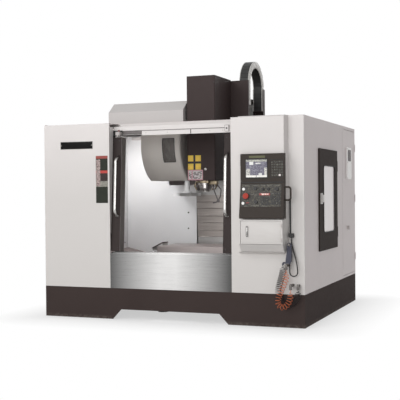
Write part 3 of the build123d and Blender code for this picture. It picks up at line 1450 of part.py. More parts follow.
def write_parts():
    os.makedirs("parts", exist_ok=True)
    save("bed_casting", bed_casting())
    save("levelling_feet", *levelling_feet())
    save("column_casting", column_casting())
    save("axis_drives", *axis_drives())
    save("saddle_casting", *saddle_casting())
    save("work_table", *work_table())
    save("head_casting", *head_casting())
    save("head_cover", *head_cover(), head_cover_plate())
    save("spindle_cartridge", *spindle_cartridge())
    save("spindle_shaft", *spindle_shaft())
    save("spindle_motor", *spindle_motor())
    save("coolant_nozzles", *coolant_nozzles())
    for index in range(1, cover_plates + 1):
        save(f"column_cover_plate_{index}", cover_plate_node(index))
    save("cable_chain", *cable_chain())
    save("cable_guide", *cable_guide())
    save("magazine_cover", *magazine_cover())
    save("magazine_roof_cover", *magazine_roof_cover())
    save("tool_changer_base", *tool_changer_base())
    save("tool_disc", *tool_disc())
    save("station_pot", *station_pot())
    save("arm_shaft", *arm_shaft())
    save("change_arm", *change_arm())
    save("base_skirt", *base_skirt())
    save("left_front_panel", *left_front_panel())
    save("right_front_panel", *right_front_panel())
    save("side_and_rear_panels", *side_and_rear_panels())
    save("top_beam", *top_beam())
    save("sill_cover", *sill_cover())
    save("interior_liner", *interior_liner())
    save("chip_pan", *chip_pan())
    save("left_door", door_leaf(left_door_x))
    save("left_door_window", door_pane(left_door_x))
    save("left_door_handle", bow_handle(left_door_x + door_width - handle_inset, handle_bottom, handle_top))
    save("right_door", door_leaf(right_door_x))
    save("right_door_window", door_pane(right_door_x))
    save("right_door_handle", bow_handle(right_door_x + handle_inset, handle_bottom, handle_top))
    save("side_door", *side_door())
    save("side_door_window", *side_door_window())
    save("cabinet_door", *cabinet_door())
    save("main_switch", *main_switch())
    save("console_module", *console_module())
    save("operator_box", *operator_box())
    save("operator_screen", *operator_screen())
    save("emergency_stop", *emergency_stop())
    save("upper_push_button", *push_button(button_upper_z))
    save("lower_push_button", *push_button(button_lower_z))
    for index, place in enumerate(knob_places):
        save(f"rotary_knob_{index + 1}", *rotary_knob(*place))
    save("storage_box", *storage_box())
    save("storage_door", *storage_door())
    save("coolant_tank", *coolant_tank())
    save("hose_fittings", *hose_fittings())
    save("black_hose", tube_along(black_hose_route, hose_radius))
    save("dark_coil_hose", tube_along(dark_coil_route, coil_radius))
    save("orange_coil_hose", tube_along(orange_coil_route, coil_radius))
    save("air_gun", *air_gun())
    save("gun_trigger", *gun_trigger())


write_parts()
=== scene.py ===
import math

import bmesh
import bpy
from mathutils import Matrix, Vector


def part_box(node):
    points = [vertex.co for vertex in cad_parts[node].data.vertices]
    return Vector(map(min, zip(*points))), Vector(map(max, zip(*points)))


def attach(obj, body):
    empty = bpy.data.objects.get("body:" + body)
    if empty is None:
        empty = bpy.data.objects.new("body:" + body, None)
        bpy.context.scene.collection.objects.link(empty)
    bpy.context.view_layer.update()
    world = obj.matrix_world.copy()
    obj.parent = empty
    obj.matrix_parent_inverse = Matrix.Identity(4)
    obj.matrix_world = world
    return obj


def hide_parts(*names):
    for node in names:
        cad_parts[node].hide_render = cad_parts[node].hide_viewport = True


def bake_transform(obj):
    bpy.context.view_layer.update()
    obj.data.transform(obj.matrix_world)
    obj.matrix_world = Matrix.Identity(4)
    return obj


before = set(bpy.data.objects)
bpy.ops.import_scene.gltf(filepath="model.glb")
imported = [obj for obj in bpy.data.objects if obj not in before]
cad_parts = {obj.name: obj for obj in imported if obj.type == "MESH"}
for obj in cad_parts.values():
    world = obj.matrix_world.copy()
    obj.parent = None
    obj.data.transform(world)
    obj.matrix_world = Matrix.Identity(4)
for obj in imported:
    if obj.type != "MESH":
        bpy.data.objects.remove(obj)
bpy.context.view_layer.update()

# The enclosure is laid out in a shop frame in millimetres: X right from the left side wall, Y back
# from the front panels, Z up from the floor. Its origin is the low corner of the left front panel.
MM = 0.001
corner = Vector(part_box("left_front_panel")[0])
shop = Matrix.Translation((corner.x, corner.y, 0)) @ Matrix.Scale(MM, 4)
FRONT = (0, -1, 0)
BACK = (0, 1, 0)
LEFT = (-1, 0, 0)
RIGHT = (1, 0, 0)
UP = (0, 0, 1)

# The materials by name, filled by material().
mats = {}


def at(x, y, z):
    """A shop point in the row frame."""
    return shop @ Vector((x, y, z))


def add_object(name, data):
    obj = bpy.data.objects.new(name, data)
    bpy.context.scene.collection.objects.link(obj)
    return obj


# Camera

def add_camera():
    stand = at(5433, -8834, 1432)
    yaw, pitch, roll = math.radians(21.68), math.radians(-0.62), math.radians(-0.5)
    data = bpy.data.cameras.new("camera")
    data.lens = 79.82
    data.clip_end = 100
    camera = add_object("camera", data)
    ahead = Vector((-math.sin(yaw) * math.cos(pitch), math.cos(yaw) * math.cos(pitch), math.sin(pitch)))
    level = Vector((math.cos(yaw), math.sin(yaw), 0))
    above = level.cross(ahead)
    right = level * math.cos(roll) + above * math.sin(roll)
    up = above * math.cos(roll) - level * math.sin(roll)
    turn = Matrix((right, up, -ahead)).transposed().to_4x4()
    camera.matrix_world = Matrix.Translation(stand) @ turn
    bpy.context.scene.camera = camera


# Node helpers for materials. Colours are written as they look on a screen, 0 to 255.

def tone(colour):
    """The linear colour that a shader takes."""
    parts = [value / 255 for value in colour]
    return tuple(v / 12.92 if v <= 0.04045 else ((v + 0.055) / 1.055) ** 2.4 for v in parts) + (1,)


def scaled(colour, factor):
    return tuple(min(1, c * factor) for c in colour[:3]) + (1,)


def node(tree, kind, inputs, **settings):
    """A node with its settings, and its inputs given as values or as outputs of other nodes."""
    made = tree.nodes.new(kind)
    for name, value in settings.items():
        setattr(made, name, value)
    for key, value in inputs.items():
        if hasattr(value, "is_output"):
            tree.links.new(value, made.inputs[key])
        elif value is not None:
            made.inputs[key].default_value = value
    return made


def math_node(tree, operation, first, second=None):
    return node(tree, "ShaderNodeMath", {0: first, 1: second}, operation=operation).outputs[0]


def blend_colour(tree, factor, first, second):
    # The colours of a mix node go into its sockets 6 and 7 and come out of 2.
    inputs = {0: factor, 6: first, 7: second}
    return node(tree, "ShaderNodeMix", inputs, data_type="RGBA").outputs[2]


def mix_shader(tree, factor, first, second):
    return node(tree, "ShaderNodeMixShader", {0: factor, 1: first, 2: second}).outputs[0]


def spread(tree, value, low, high, to_low=0.0, to_high=1.0):
    inputs = {0: value, 1: low, 2: high, 3: to_low, 4: to_high}
    return node(tree, "ShaderNodeMapRange", inputs).outputs[0]


def mottle(tree, texture, low, high, base, other, most=1.0):
    """One colour that passes into another where a texture is high."""
    return blend_colour(tree, spread(tree, texture, low, high, 0.0, most), base, other)


def rubbed(tree, mask, amount, base, other):
    """One colour with some of another where a mask, such as that of the edges, is 1."""
    return blend_colour(tree, math_node(tree, "MULTIPLY", mask, amount), base, other)


def distance(tree, value, middle):
    return math_node(tree, "ABSOLUTE", math_node(tree, "SUBTRACT", value, middle))


def place(tree):
    return tree.nodes.new("ShaderNodeTexCoord").outputs["Object"]


def axes(tree):
    """The X, Y and Z of the shaded point, in metres."""
    return node(tree, "ShaderNodeSeparateXYZ", {0: place(tree)}).outputs


def noise(tree, scale, detail=2.0, stretch=(1, 1, 1), roughness=0.5):
    mapping = node(tree, "ShaderNodeMapping", {"Vector": place(tree), "Scale": stretch})
    inputs = {"Vector": mapping.outputs["Vector"], "Scale": scale, "Detail": detail, "Roughness": roughness}
    return node(tree, "ShaderNodeTexNoise", inputs).outputs["Fac"]


def bump(tree, height, strength, reach, normal=None):
    inputs = {"Strength": strength, "Distance": reach, "Height": height, "Normal": normal}
    return node(tree, "ShaderNodeBump", inputs).outputs["Normal"]


def soft_edges(tree, radius):
    """The normal rounded at edges, and a mask that is 1 along them."""
    rounded = node(tree, "ShaderNodeBevel", {"Radius": radius}, samples=4).outputs[0]
    real = tree.nodes.new("ShaderNodeNewGeometry").outputs["Normal"]
    dot = node(tree, "ShaderNodeVectorMath", {0: rounded, 1: real}, operation="DOT_PRODUCT").outputs["Value"]
    return rounded, spread(tree, dot, 0.9, 0.99, 1.0, 0.0)


def principled(tree, colour, rough, metal=0.0, coat=0.0, specular=0.5, normal=None):
    inputs = {"Base Color": colour, "Roughness": rough, "Metallic": metal, "Coat Weight": coat,
              "Specular IOR Level": specular, "Normal": normal}
    return node(tree, "ShaderNodeBsdfPrincipled", inputs).outputs[0]


# Finishes. Each returns a function that builds its shader in a node tree.

DUST = tone((150, 142, 134))


def enamel(colour, rough=0.42, shade=0.05, relief=0.12, low=None, painted_shade_fade=None, specular=0.5):
    """Sprayed enamel: faint orange peel, a broad drift of tone, lighter edges, and dust near the floor."""
    colour = tone(colour)

    def build(tree):
        drift = noise(tree, 1.7, 3)
        dirt = noise(tree, 24, 5, roughness=0.7)
        rounded, rim = soft_edges(tree, 0.003)
        paint = mottle(tree, drift, 0.3, 0.7, scaled(colour, 1 - shade), scaled(colour, 1 + shade))
        # Painted shade: the paint darkens towards the tint lower down, fully at the fade's bottom height.
        if painted_shade_fade is not None:
            top, bottom, shade_tint = painted_shade_fade
            paint = blend_colour(tree, spread(tree, axes(tree)[2], bottom, top, 1.0, 0.0), paint, tone(shade_tint))
        paint = rubbed(tree, rim, spread(tree, dirt, 0.35, 0.65, 0.0, 0.25), paint, scaled(colour, 1.5))
        if low is not None:
            near_floor = spread(tree, axes(tree)[2], 0.0, low, 0.5, 0.0)
            paint = rubbed(tree, near_floor, spread(tree, dirt, 0.4, 0.7), paint, DUST)
        gloss = spread(tree, dirt, 0.25, 0.75, rough - 0.05, rough + 0.07)
        peel = bump(tree, noise(tree, 700, 1), relief, 0.0004, rounded)
        return principled(tree, paint, gloss, specular=specular, normal=peel)
    return build


def brushed(colour, rough=0.3, lines=(3, 3, 260), shade=0.12, painted_sheen_band=None, metal=0.9):
    """Brushed or ground metal: fine lines along one direction, slow blotches, brighter edges, and a painted
    sheen band if given.
    """
    colour = tone(colour)

    def build(tree):
        streak = noise(tree, 1.0, 4, lines, 0.7)
        rounded, rim = soft_edges(tree, 0.0015)
        base = mottle(tree, streak, 0.3, 0.7, scaled(colour, 1 - shade), scaled(colour, 1 + shade))
        base = mottle(tree, noise(tree, 5, 3), 0.35, 0.7, base, scaled(colour, 1 - shade * 1.6), 0.35)
        # Painted sheen: a painted highlight in the middle that falls to painted shade towards both ends.
        if painted_sheen_band is not None:
            middle, near, far, dark = painted_sheen_band
            away = distance(tree, axes(tree)[0], at(middle, 0, 0).x)
            base = mottle(tree, away, near * MM, far * MM, base, scaled(colour, dark))
        base = rubbed(tree, rim, 0.5, base, scaled(colour, 1.3))
        gloss = spread(tree, streak, 0.3, 0.7, rough - 0.06, rough + 0.08)
        return principled(tree, base, gloss, metal=metal, normal=bump(tree, streak, 0.15, 0.0003, rounded))
    return build


def casting(colour, rough=0.55):
    """A filled and painted casting: coarse lumps under the paint, rubbed edges and grease marks."""
    colour = tone(colour)

    def build(tree):
        lumps = noise(tree, 60, 5, roughness=0.65)
        rounded, rim = soft_edges(tree, 0.005)
        paint = mottle(tree, noise(tree, 3, 5, roughness=0.7), 0.4, 0.75, colour, scaled(colour, 0.72))
        paint = rubbed(tree, rim, 0.35, paint, scaled(colour, 1.35))
        return principled(tree, paint, spread(tree, lumps, 0.2, 0.8, rough - 0.1, rough + 0.1),
                          normal=bump(tree, lumps, 0.35, 0.0015, rounded))
    return build


def moulded(colour, rough=0.5, grain=1600, relief=0.2, coat=0.0, specular=0.4):
    """Moulded plastic or rubber with a fine spark-eroded grain and rubbed, slightly greyer edges."""
    colour = tone(colour)

    def build(tree):
        fine = noise(tree, grain, 2)
        broad = noise(tree, 22, 4, roughness=0.65)
        rounded, rim = soft_edges(tree, 0.001)
        base = mottle(tree, broad, 0.35, 0.7, scaled(colour, 1.08), scaled(colour, 0.92))
        base = rubbed(tree, rim, 0.3, base, tuple(c * 0.8 + 0.1 for c in colour[:3]) + (1,))
        return principled(tree, base, spread(tree, broad, 0.3, 0.7, rough - 0.06, rough + 0.08), coat=coat,
                          specular=specular, normal=bump(tree, fine, relief, 0.0002, rounded))
    return build


def polished(colour, rough=0.2):
    """Bright tube or plating with faint handling smears."""
    colour = tone(colour)

    def build(tree):
        smear = noise(tree, 30, 5, (1, 1, 0.3), 0.7)
        base = mottle(tree, smear, 0.4, 0.75, colour, scaled(colour, 0.85))
        return principled(tree, base, spread(tree, smear, 0.35, 0.75, rough, rough + 0.16), metal=1.0,
                          normal=bump(tree, noise(tree, 900, 1), 0.05, 0.0001))
    return build


def pane(colour, clear, rough=0.06):
    """Laminated guard window: partly see-through, with wiped coolant film and fine scratches."""
    colour = tone(colour)

    def build(tree):
        film = noise(tree, 7, 5, (1, 1, 0.4), 0.7)
        scratch = noise(tree, 1.0, 2, (4, 4, 500))
        glass = principled(tree, mottle(tree, film, 0.35, 0.7, colour, scaled(colour, 0.9)),
                           spread(tree, film, 0.3, 0.75, rough, rough + 0.12), coat=0.6,
                           normal=bump(tree, scratch, 0.03, 0.0001))
        through = node(tree, "ShaderNodeBsdfTransparent", {"Color": scaled(colour, 1.1)}).outputs[0]
        return mix_shader(tree, spread(tree, film, 0.3, 0.75, 1 - clear, 1.15 - clear), through, glass)
    return build


def printed(ground, marks, stretch=(90, 1, 220), cover=0.56):
    """A printed face: short pale or dark marks in rows on a plain ground, with no lettering."""
    ground, marks = tone(ground), tone(marks)

    def build(tree):
        pattern = noise(tree, 1.0, 0, stretch)
        haze = noise(tree, 14, 4, roughness=0.65)
        base = mottle(tree, pattern, cover, cover + 0.02, ground, marks)
        base = mottle(tree, haze, 0.35, 0.7, base, scaled(ground, 0.8), 0.25)
        return principled(tree, base, spread(tree, haze, 0.3, 0.7, 0.34, 0.48), specular=0.3,
                          normal=bump(tree, pattern, 0.05, 0.0002))
    return build


OPEN = (None, None)


def zone(finish, x=OPEN, y=OPEN, z=OPEN):
    """A finish and the shop limits that it keeps to on each axis, None where a side is open."""
    return finish, (x, y, z)


def inside(tree, limits):
    """1 inside the shop limits and 0 outside."""
    factor = None
    for axis, (position, bounds) in enumerate(zip(axes(tree), limits)):
        for bound, operation in zip(bounds, ("GREATER_THAN", "LESS_THAN")):
            if bound is not None:
                test = math_node(tree, operation, position, at(bound, bound, bound)[axis])
                factor = test if factor is None else math_node(tree, "MULTIPLY", factor, test)
    return factor


def fresh_tree(owner, kind):
    """The emptied node tree of a material or world, and the Surface input of its output node."""
    owner.use_nodes = True
    tree = owner.node_tree
    tree.nodes.clear()
    return tree, tree.nodes.new(kind).inputs["Surface"]


def material(name, base, *zones):
    """A finish, with other finishes in zones of it."""
    made = bpy.data.materials.new(name)
    tree, surface = fresh_tree(made, "ShaderNodeOutputMaterial")
    shader = base(tree)
    for finish, limits in zones:
        shader = mix_shader(tree, inside(tree, limits), shader, finish(tree))
    tree.links.new(shader, surface)
    mats[name] = made
    return made


# Colours

PANEL = (214, 209, 207)
STEEL = (196, 194, 192)
GROUND = (170, 166, 163)
CAST = (142, 141, 136)
BLACK = (38, 37, 37)
TUBE = (192, 190, 187)


HANDLE_FOOT = 1146
HANDLE_HEAD = 1814
BACK_WALL_Y = 1690
COLUMN_LEFT = 1197
COLUMN_RIGHT = 1962
HEAD_SLIDE_Y = 1650
KEYS_X = 2740
SLOPE_Z = 1530


def make_enamels():
    # The front panels' fade is painted shade, darker from 2.15 m down to 1.35 m.
    light = enamel(PANEL, shade=0.02, painted_shade_fade=(2.15, 1.35, (203, 199, 196)))
    grey = enamel((210, 205, 199), rough=0.5, shade=0.04, specular=0.2)
    cover = enamel((64, 54, 53), rough=0.46, relief=0.2, specular=0.12)
    door = enamel((60, 53, 52), rough=0.4, relief=0.15, specular=0.07)
    side_door = enamel((54, 46, 43), rough=0.46, relief=0.15, specular=0.012)
    side = enamel((207, 197, 196), shade=0.02)
    white = enamel((240, 240, 241), rough=0.38, shade=0.02)
    vent_side = enamel((255, 253, 251), rough=0.5, shade=0.0)
    steel = brushed(STEEL, rough=0.34)
    material("light_enamel", light)
    material("dark_enamel", enamel((66, 57, 55), rough=0.55, relief=0.25, low=0.05, specular=0.012))
    material("cover_enamel", cover)
    material("operator_box_enamel", enamel((60, 54, 50), rough=0.48, relief=0.2, specular=0.1))
    material("door_enamel", door, zone(enamel((112, 106, 103)), x=(940.5, 946)))
    material("handle_tube", polished(TUBE),
             zone(door, z=(HANDLE_HEAD, None)), zone(door, z=(None, HANDLE_FOOT)))
    material("side_door_enamel", side_door, zone(light, x=(3084.6, None), y=(None, 712), z=(1268, 1394)))
    material("grey_enamel", grey)
    material("roof_cover_enamel", enamel((199, 195, 193), shade=0.02))
    material("side_enamel", side)
    # The chip pan is painted darker, to stand in for the shade that falls on it.
    material("chip_pan_shaded_enamel", enamel((128, 116, 113), shade=0.08))
    # Below 872.6 mm the storage box's down-facing bevel is painted darker: painted shade.
    material("storage_enamel_shaded_bevel", light, zone(enamel((194, 190, 187)), z=(None, 872.6)))
    material("liner_enamel", white, zone(steel, x=(COLUMN_LEFT, COLUMN_RIGHT), y=(BACK_WALL_Y, None)))
    material("head_cover_enamel", cover, zone(steel, y=(HEAD_SLIDE_Y, None)))
    material("cabinet_enamel", side,
             zone(vent_side, x=(3071.5, None), y=(None, 2400), z=(1550, None)))
    material("tank_enamel", grey, zone(casting((60, 74, 92)), z=(330.5, None)))
    material("motor_enamel", casting((40, 40, 41), rough=0.4))
    material("arm_enamel", enamel((250, 250, 250), rough=0.4, shade=0.0))


def make_metals():
    steel = brushed(STEEL, rough=0.34)
    ground = brushed(GROUND, rough=0.28, lines=(260, 3, 3))
    black = moulded(BLACK)
    material("brushed_steel", steel)
    material("ground_steel", ground)
    material("painted_casting", casting(CAST))
    material("polished_tube", polished(TUBE))
    material("plated_screws", polished((176, 172, 168), rough=0.28))
    material("drive_metal", ground, zone(black, y=(None, 362)), zone(black, z=(2600, None)))
    material("disc_steel", brushed(GROUND, rough=0.32, lines=(3, 60, 60)),
             zone(moulded((52, 50, 50)), x=(None, 977)))
    material("table_steel", brushed((182, 172, 170), rough=0.42, lines=(2, 240, 240), metal=0.5))
    material("saddle_metal", casting(CAST), zone(steel, y=(None, 758)), zone(steel, y=(1342, None)))
    material("fitting_metal", brushed((104, 100, 97), rough=0.4, lines=(3, 3, 60)),
             zone(moulded((40, 39, 39)), z=(938, None)))
    # The sill's sheen is painted: a painted highlight, brightest in its middle, darker at both ends. The
    # band gives that middle, how far from it the fall begins and ends, and how dark the ends are.
    material("sill_steel", brushed((214, 213, 212), rough=0.3, lines=(3, 3, 300), shade=0.06,
                                   painted_sheen_band=(1530, 100, 720, 0.13)))
    material("bronze_block", brushed((138, 126, 106), rough=0.42))
    material("guard_steel", brushed((112, 104, 103), rough=0.4))


def make_plastics():
    material("switch_plastic", moulded((204, 197, 195)))
    material("interlock_block", moulded((176, 170, 168)))
    material("black_plastic", moulded(BLACK))
    material("black_rubber", moulded((33, 32, 32), rough=0.7, grain=900, relief=0.3))
    material("black_screws", moulded((46, 44, 44), rough=0.35))
    material("guard_window", pane((246, 236, 235), clear=0.2))
    material("tinted_window", pane((122, 118, 114), clear=0.2, rough=0.2))
    material("door_guard_window", pane((120, 116, 114), clear=0.7))
    material("gun_plastic", moulded((62, 63, 76), rough=0.45, specular=0.25))
    material("dark_hose", moulded((40, 33, 33), rough=0.45, coat=0.1, specular=0.2, grain=500, relief=0.05))
    # The orange hose's lower loop, below 345 mm, is painted darker as painted shade.
    material("orange_hose", moulded((214, 124, 90), grain=500, relief=0.05, specular=0.2),
             zone(moulded((176, 98, 66), grain=500, specular=0.2), z=(None, 345)))
    material("red_plastic", moulded((158, 48, 34), rough=0.4, specular=0.2))
    material("maroon_cap", moulded((112, 62, 60), rough=0.35))
    material("white_plastic", moulded((232, 231, 228), rough=0.35, coat=0.2))
    material("pale_marks", moulded((150, 148, 138)))
    material("heading_strip", moulded((88, 88, 60)))
    material("coolant_pipe", moulded((92, 87, 88), rough=0.35))
    material("chain_side_plastic", moulded((198, 196, 192), relief=0.3))
    material("grille_plastic", moulded((104, 99, 98)))


def make_printed_faces():
    black = moulded(BLACK)
    material("operator_face", printed((46, 43, 39), (92, 87, 74), stretch=(80, 1, 150), cover=0.6),
             zone(moulded((24, 26, 30), rough=0.25), x=(None, KEYS_X), z=(SLOPE_Z, None)),
             zone(printed((56, 54, 50), (104, 104, 94), cover=0.58), x=(KEYS_X, None), z=(SLOPE_Z, None)),
             zone(moulded((236, 228, 226)), x=(2841, 2865), z=(1570, 1593)))
    material("yellow_plate", moulded((226, 190, 72), rough=0.35),
             zone(black, x=(1484, 1510)), zone(black, z=(1749, 1776)))
    pale_print = printed((196, 192, 190), (128, 118, 120), stretch=(40, 1, 70), cover=0.5)
    material("pale_plate", moulded((196, 150, 158), rough=0.4),
             *[zone(pale_print, x=across, z=(1566, 1664)) for across in ((1424, 1460), (1474, 1594))])
    material("nameplate_metal", brushed((120, 118, 116)),
             zone(moulded((19, 18, 18), specular=0.08), x=(218, 623), z=(1915, 1992)))
    material("instruction_sheet", moulded((48, 50, 44), specular=0.1),
             zone(moulded((140, 64, 56)), z=(1798, None)),
             zone(moulded((62, 52, 52), specular=0.1), z=(1545, 1634)),
             zone(moulded((176, 60, 54)), z=(1634, 1664)),
             zone(printed((150, 147, 138), (86, 84, 78)), z=(1482, 1545)),
             zone(printed((176, 160, 156), (80, 50, 48)), x=(670, 720), z=(1490, 1788)))
    material("screen_picture", printed((100, 97, 112), (150, 148, 158)),
             zone(printed((190, 190, 180), (96, 94, 96)), z=(1722, None)),
             zone(printed((206, 204, 196), (120, 118, 124)), x=(None, 2538), z=(None, 1650)),
             zone(printed((214, 212, 204), (130, 126, 132)), x=(2690, None), z=(None, 1660)),
             zone(moulded((240, 238, 232)), x=(None, 2600), z=(None, 1582)),
             zone(moulded((236, 234, 228)), x=(2606, None), z=(None, 1582)),
             zone(moulded((226, 226, 222)), x=(2528, 2572), z=(1690, 1722)),
             zone(printed((232, 232, 228), (130, 128, 136)), x=(2596, 2650), z=(1698, 1712)),
             zone(moulded((222, 222, 220)), x=(2628, 2664), z=(1583, 1604)))
    material("red_display", moulded((132, 40, 36), rough=0.3),
             zone(printed((244, 226, 218), (214, 96, 84)), x=(2660, 2738), z=(1380, 1394)))


def banded_steel(name, creases):
    """The telescopic cover sheets: brushed steel with a folded crease across each sheet, darkened by painted
    shade.
    """
    def build(tree):
        height = axes(tree)[2]
        crease_bump_and_shade = None
        for z in creases:
            line = spread(tree, distance(tree, height, z * MM), 0.0, 0.004, 1.0, 0.0)
            crease_bump_and_shade = line if crease_bump_and_shade is None else math_node(tree, "MAXIMUM", crease_bump_and_shade, line)
        streak = noise(tree, 1.0, 3, (3, 3, 220), 0.7)
        base = mottle(tree, streak, 0.3, 0.7, tone((166, 158, 153)), tone((188, 181, 176)))
        # Painted shade: each crease, where the sheets fold and overlap, is darkened.
        base = blend_colour(tree, crease_bump_and_shade, base, tone((116, 111, 107)))
        return principled(tree, base, spread(tree, streak, 0.3, 0.7, 0.28, 0.42), metal=0.85,
                          normal=bump(tree, crease_bump_and_shade, 0.8, 0.003))
    return material(name, build)


def dress():
    """Gives each CAD node its finish."""
    table = {
        "light_enamel": "left_front_panel right_front_panel top_beam console_module storage_door",
        "side_enamel": "side_and_rear_panels",
        "storage_enamel_shaded_bevel": "storage_box",
        "chip_pan_shaded_enamel": "chip_pan",
        "roof_cover_enamel": "magazine_roof_cover",
        "switch_plastic": "main_switch",
        "dark_enamel": "base_skirt",
        "cover_enamel": "cable_guide",
        "operator_box_enamel": "operator_box",
        "door_enamel": "left_door right_door",
        "side_door_enamel": "side_door",
        "liner_enamel": "interior_liner",
        "head_cover_enamel": "head_cover",
        "grey_enamel": "magazine_cover",
        "cabinet_enamel": "cabinet_door",
        "tank_enamel": "coolant_tank",
        "painted_casting": "bed_casting column_casting head_casting tool_changer_base",
        "saddle_metal": "saddle_casting",
        "table_steel": "work_table",
        "drive_metal": "axis_drives",
        "disc_steel": "tool_disc",
        "ground_steel": "spindle_cartridge spindle_shaft levelling_feet gun_trigger",
        "bronze_block": "coolant_nozzles",
        "arm_enamel": "arm_shaft change_arm",
        "motor_enamel": "spindle_motor",
        "sill_steel": "sill_cover",
        "handle_tube": "left_door_handle right_door_handle",
        "guard_window": "side_door_window",
        "door_guard_window": "left_door_window right_door_window",
        "black_plastic": "station_pot rotary_knob_1 rotary_knob_2 rotary_knob_3 cable_chain",
        "operator_face": "operator_screen",
        "red_plastic": "emergency_stop",
        "white_plastic": "upper_push_button lower_push_button",
        "fitting_metal": "hose_fittings",
        "gun_plastic": "air_gun",
        "black_rubber": "black_hose",
        "dark_hose": "dark_coil_hose",
        "orange_hose": "orange_coil_hose",
    }
    chosen = {name: mats[finish] for finish, names in table.items() for name in names.split()}
    column_cover_top, sheet_step = 1373.0, 177.8
    for index in (1, 2, 3):
        bottom = column_cover_top - index * sheet_step
        steel = banded_steel(f"cover_plate_steel_{index}", (bottom + 88, bottom + 3))
        chosen[f"column_cover_plate_{index}"] = steel
    for name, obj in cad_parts.items():
        if not obj.material_slots:
            obj.data.materials.append(chosen[name])
        for holder in obj.material_slots:
            holder.material = chosen[name]


# Mesh helpers. Shapes are drawn in shop millimetres and put into the row frame when the piece is finished.

def slab(bm, x0, x1, y0, y1, z0, z1, round_by, segments, turn=None):
    """A block with rounded edges."""
    made = bmesh.ops.create_cube(bm, size=1)["verts"]
    low = Vector((x0, y0, z0))
    size = Vector((x1, y1, z1)) - low
    half = Vector((0.5, 0.5, 0.5))
    for v in made:
        v.co = low + (v.co + half) * size
    edges = list({e for v in made for e in v.link_edges})
    if round_by:
        result = bmesh.ops.bevel(bm, geom=edges, offset=round_by, segments=segments, affect="EDGES",
                                 profile=0.5)
        made = list({v for f in result["faces"] for v in f.verts} | {v for v in made if v.is_valid})
    if turn is not None:
        bmesh.ops.transform(bm, matrix=turn, verts=made)


def lathe(bm, origin, axis, profile, sides=20):
    """Turns a profile of (radius, height) pairs about an axis."""
    here = Matrix.Translation(origin) @ Vector(axis).normalized().to_track_quat("Z", "Y").to_matrix().to_4x4()
    rings = []
    for radius, height in profile:
        angles = [2 * math.pi * i / sides for i in range(sides if radius else 1)]
        rings.append([bm.verts.new(here @ Vector((radius * math.cos(a), radius * math.sin(a), height)))
                      for a in angles])
    for low, high in zip(rings, rings[1:]):
        for i in range(sides):
            j = (i + 1) % sides
            if len(low) == 1:
                bm.faces.new((low[0], high[i], high[j]))
            elif len(high) == 1:
                bm.faces.new((low[i], high[0], low[j]))
            else:
                bm.faces.new((low[i], high[i], high[j], low[j]))


def screw(bm, point, axis, radius):
    """Pan-head screw with a hexagon socket."""
    h = radius * 0.5
    lathe(bm, point, axis, [(radius, 0), (radius, h * 0.6), (radius * 0.8, h), (radius * 0.48, h),
                            (radius * 0.45, h * 0.35), (0, h * 0.3)], sides=12)


def screws(bm, xs, ys, zs, axis, radius):
    """A screw at each crossing of the given X, Y and Z values."""
    for x in xs:
        for y in ys:
            for z in zs:
                screw(bm, (x, y, z), axis, radius)


def skin(bm, rings, closed=False):
    """Joins rings of points by faces, with a face at each end unless the last ring meets the first."""
    rings = [[bm.verts.new(p) for p in ring] for ring in rings]
    count = len(rings)
    for i in range(count if closed else count - 1):
        low, high = rings[i], rings[(i + 1) % count]
        for k in range(len(low)):
            j = (k + 1) % len(low)
            bm.faces.new((low[k], low[j], high[j], high[k]))
    if not closed:
        bm.faces.new(rings[0][::-1])
        bm.faces.new(rings[-1])
    return [v for ring in rings for v in ring]


def carried(run, side):
    """The direction across a run that is turned as little as possible from the one before."""
    if side is None:
        side = run.orthogonal().normalized()
    return (side - run * side.dot(run)).normalized()


def tube(bm, points, radius, sides=12, closed=False):
    """A round bar along a list of points."""
    last = len(points) - 1
    points = [Vector(p) for p in points]
    rings = []
    side = None
    for i, p in enumerate(points):
        ahead = points[(i + 1) % len(points)] if closed or i < last else p
        behind = points[i - 1] if closed or i > 0 else p
        run = (ahead - behind).normalized()
        side = carried(run, side)
        other = run.cross(side)
        angles = [2 * math.pi * k / sides for k in range(sides)]
        rings.append([p + (side * math.cos(a) + other * math.sin(a)) * radius for a in angles])
    skin(bm, rings, closed)


def loop_bar(bm, plane, across0, across1, z0, z1, corner_radius, depth, steps, bar_radius):
    """A round bar along a rounded rectangle: 'front' is over X and Z at a Y, 'side' over Y and Z at an X."""
    left, right = across0 + corner_radius, across1 - corner_radius
    low, high = z0 + corner_radius, z1 - corner_radius
    points = []
    for a, z, start in ((right, high, 0), (left, high, 90), (left, low, 180), (right, low, 270)):
        for k in range(steps + 1):
            angle = math.radians(start + 90 * k / steps)
            u = a + corner_radius * math.cos(angle)
            w = z + corner_radius * math.sin(angle)
            points.append((u, depth, w) if plane == "front" else (depth, u, w))
    tube(bm, points, bar_radius, 8, closed=True)


def side_plate(bm, x0, x1, outline):
    """A plate between two X values with an outline over Y and Z."""
    skin(bm, [[(x, y, z) for y, z in outline] for x in (x1, x0)])


def wedge(bm, outline, y0, y1):
    """A bar with rounded edges and an outline over X and Z."""
    verts = skin(bm, [[(x, y, z) for x, z in outline] for y in (y1, y0)])
    edges = list({e for v in verts for e in v.link_edges})
    bmesh.ops.bevel(bm, geom=edges, offset=2, segments=2, affect="EDGES", profile=0.5)


def add_mesh(name, bm, finish):
    mesh = bpy.data.meshes.new(name)
    bm.to_mesh(mesh)
    bm.free()
    mesh.shade_smooth()
    mesh.materials.append(mats[finish])
    return add_object(name, mesh)


def piece(name, finish, body, slot, *shapes, before=None):
    """A piece drawn from shapes, each a function above with what it takes after the mesh."""
    bm = bmesh.new()
    for shape, *values in shapes:
        shape(bm, *values)
    if before is not None:
        bm.transform(before)
    bm.transform(shop)
    bmesh.ops.recalc_face_normals(bm, faces=bm.faces)
    obj = add_mesh(name, bm, finish)
    obj.data.set_sharp_from_angle(angle=math.radians(35))
    if body is not None:
        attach(obj, body)
    return obj


# Hoses. The points are those of the CAD routes.

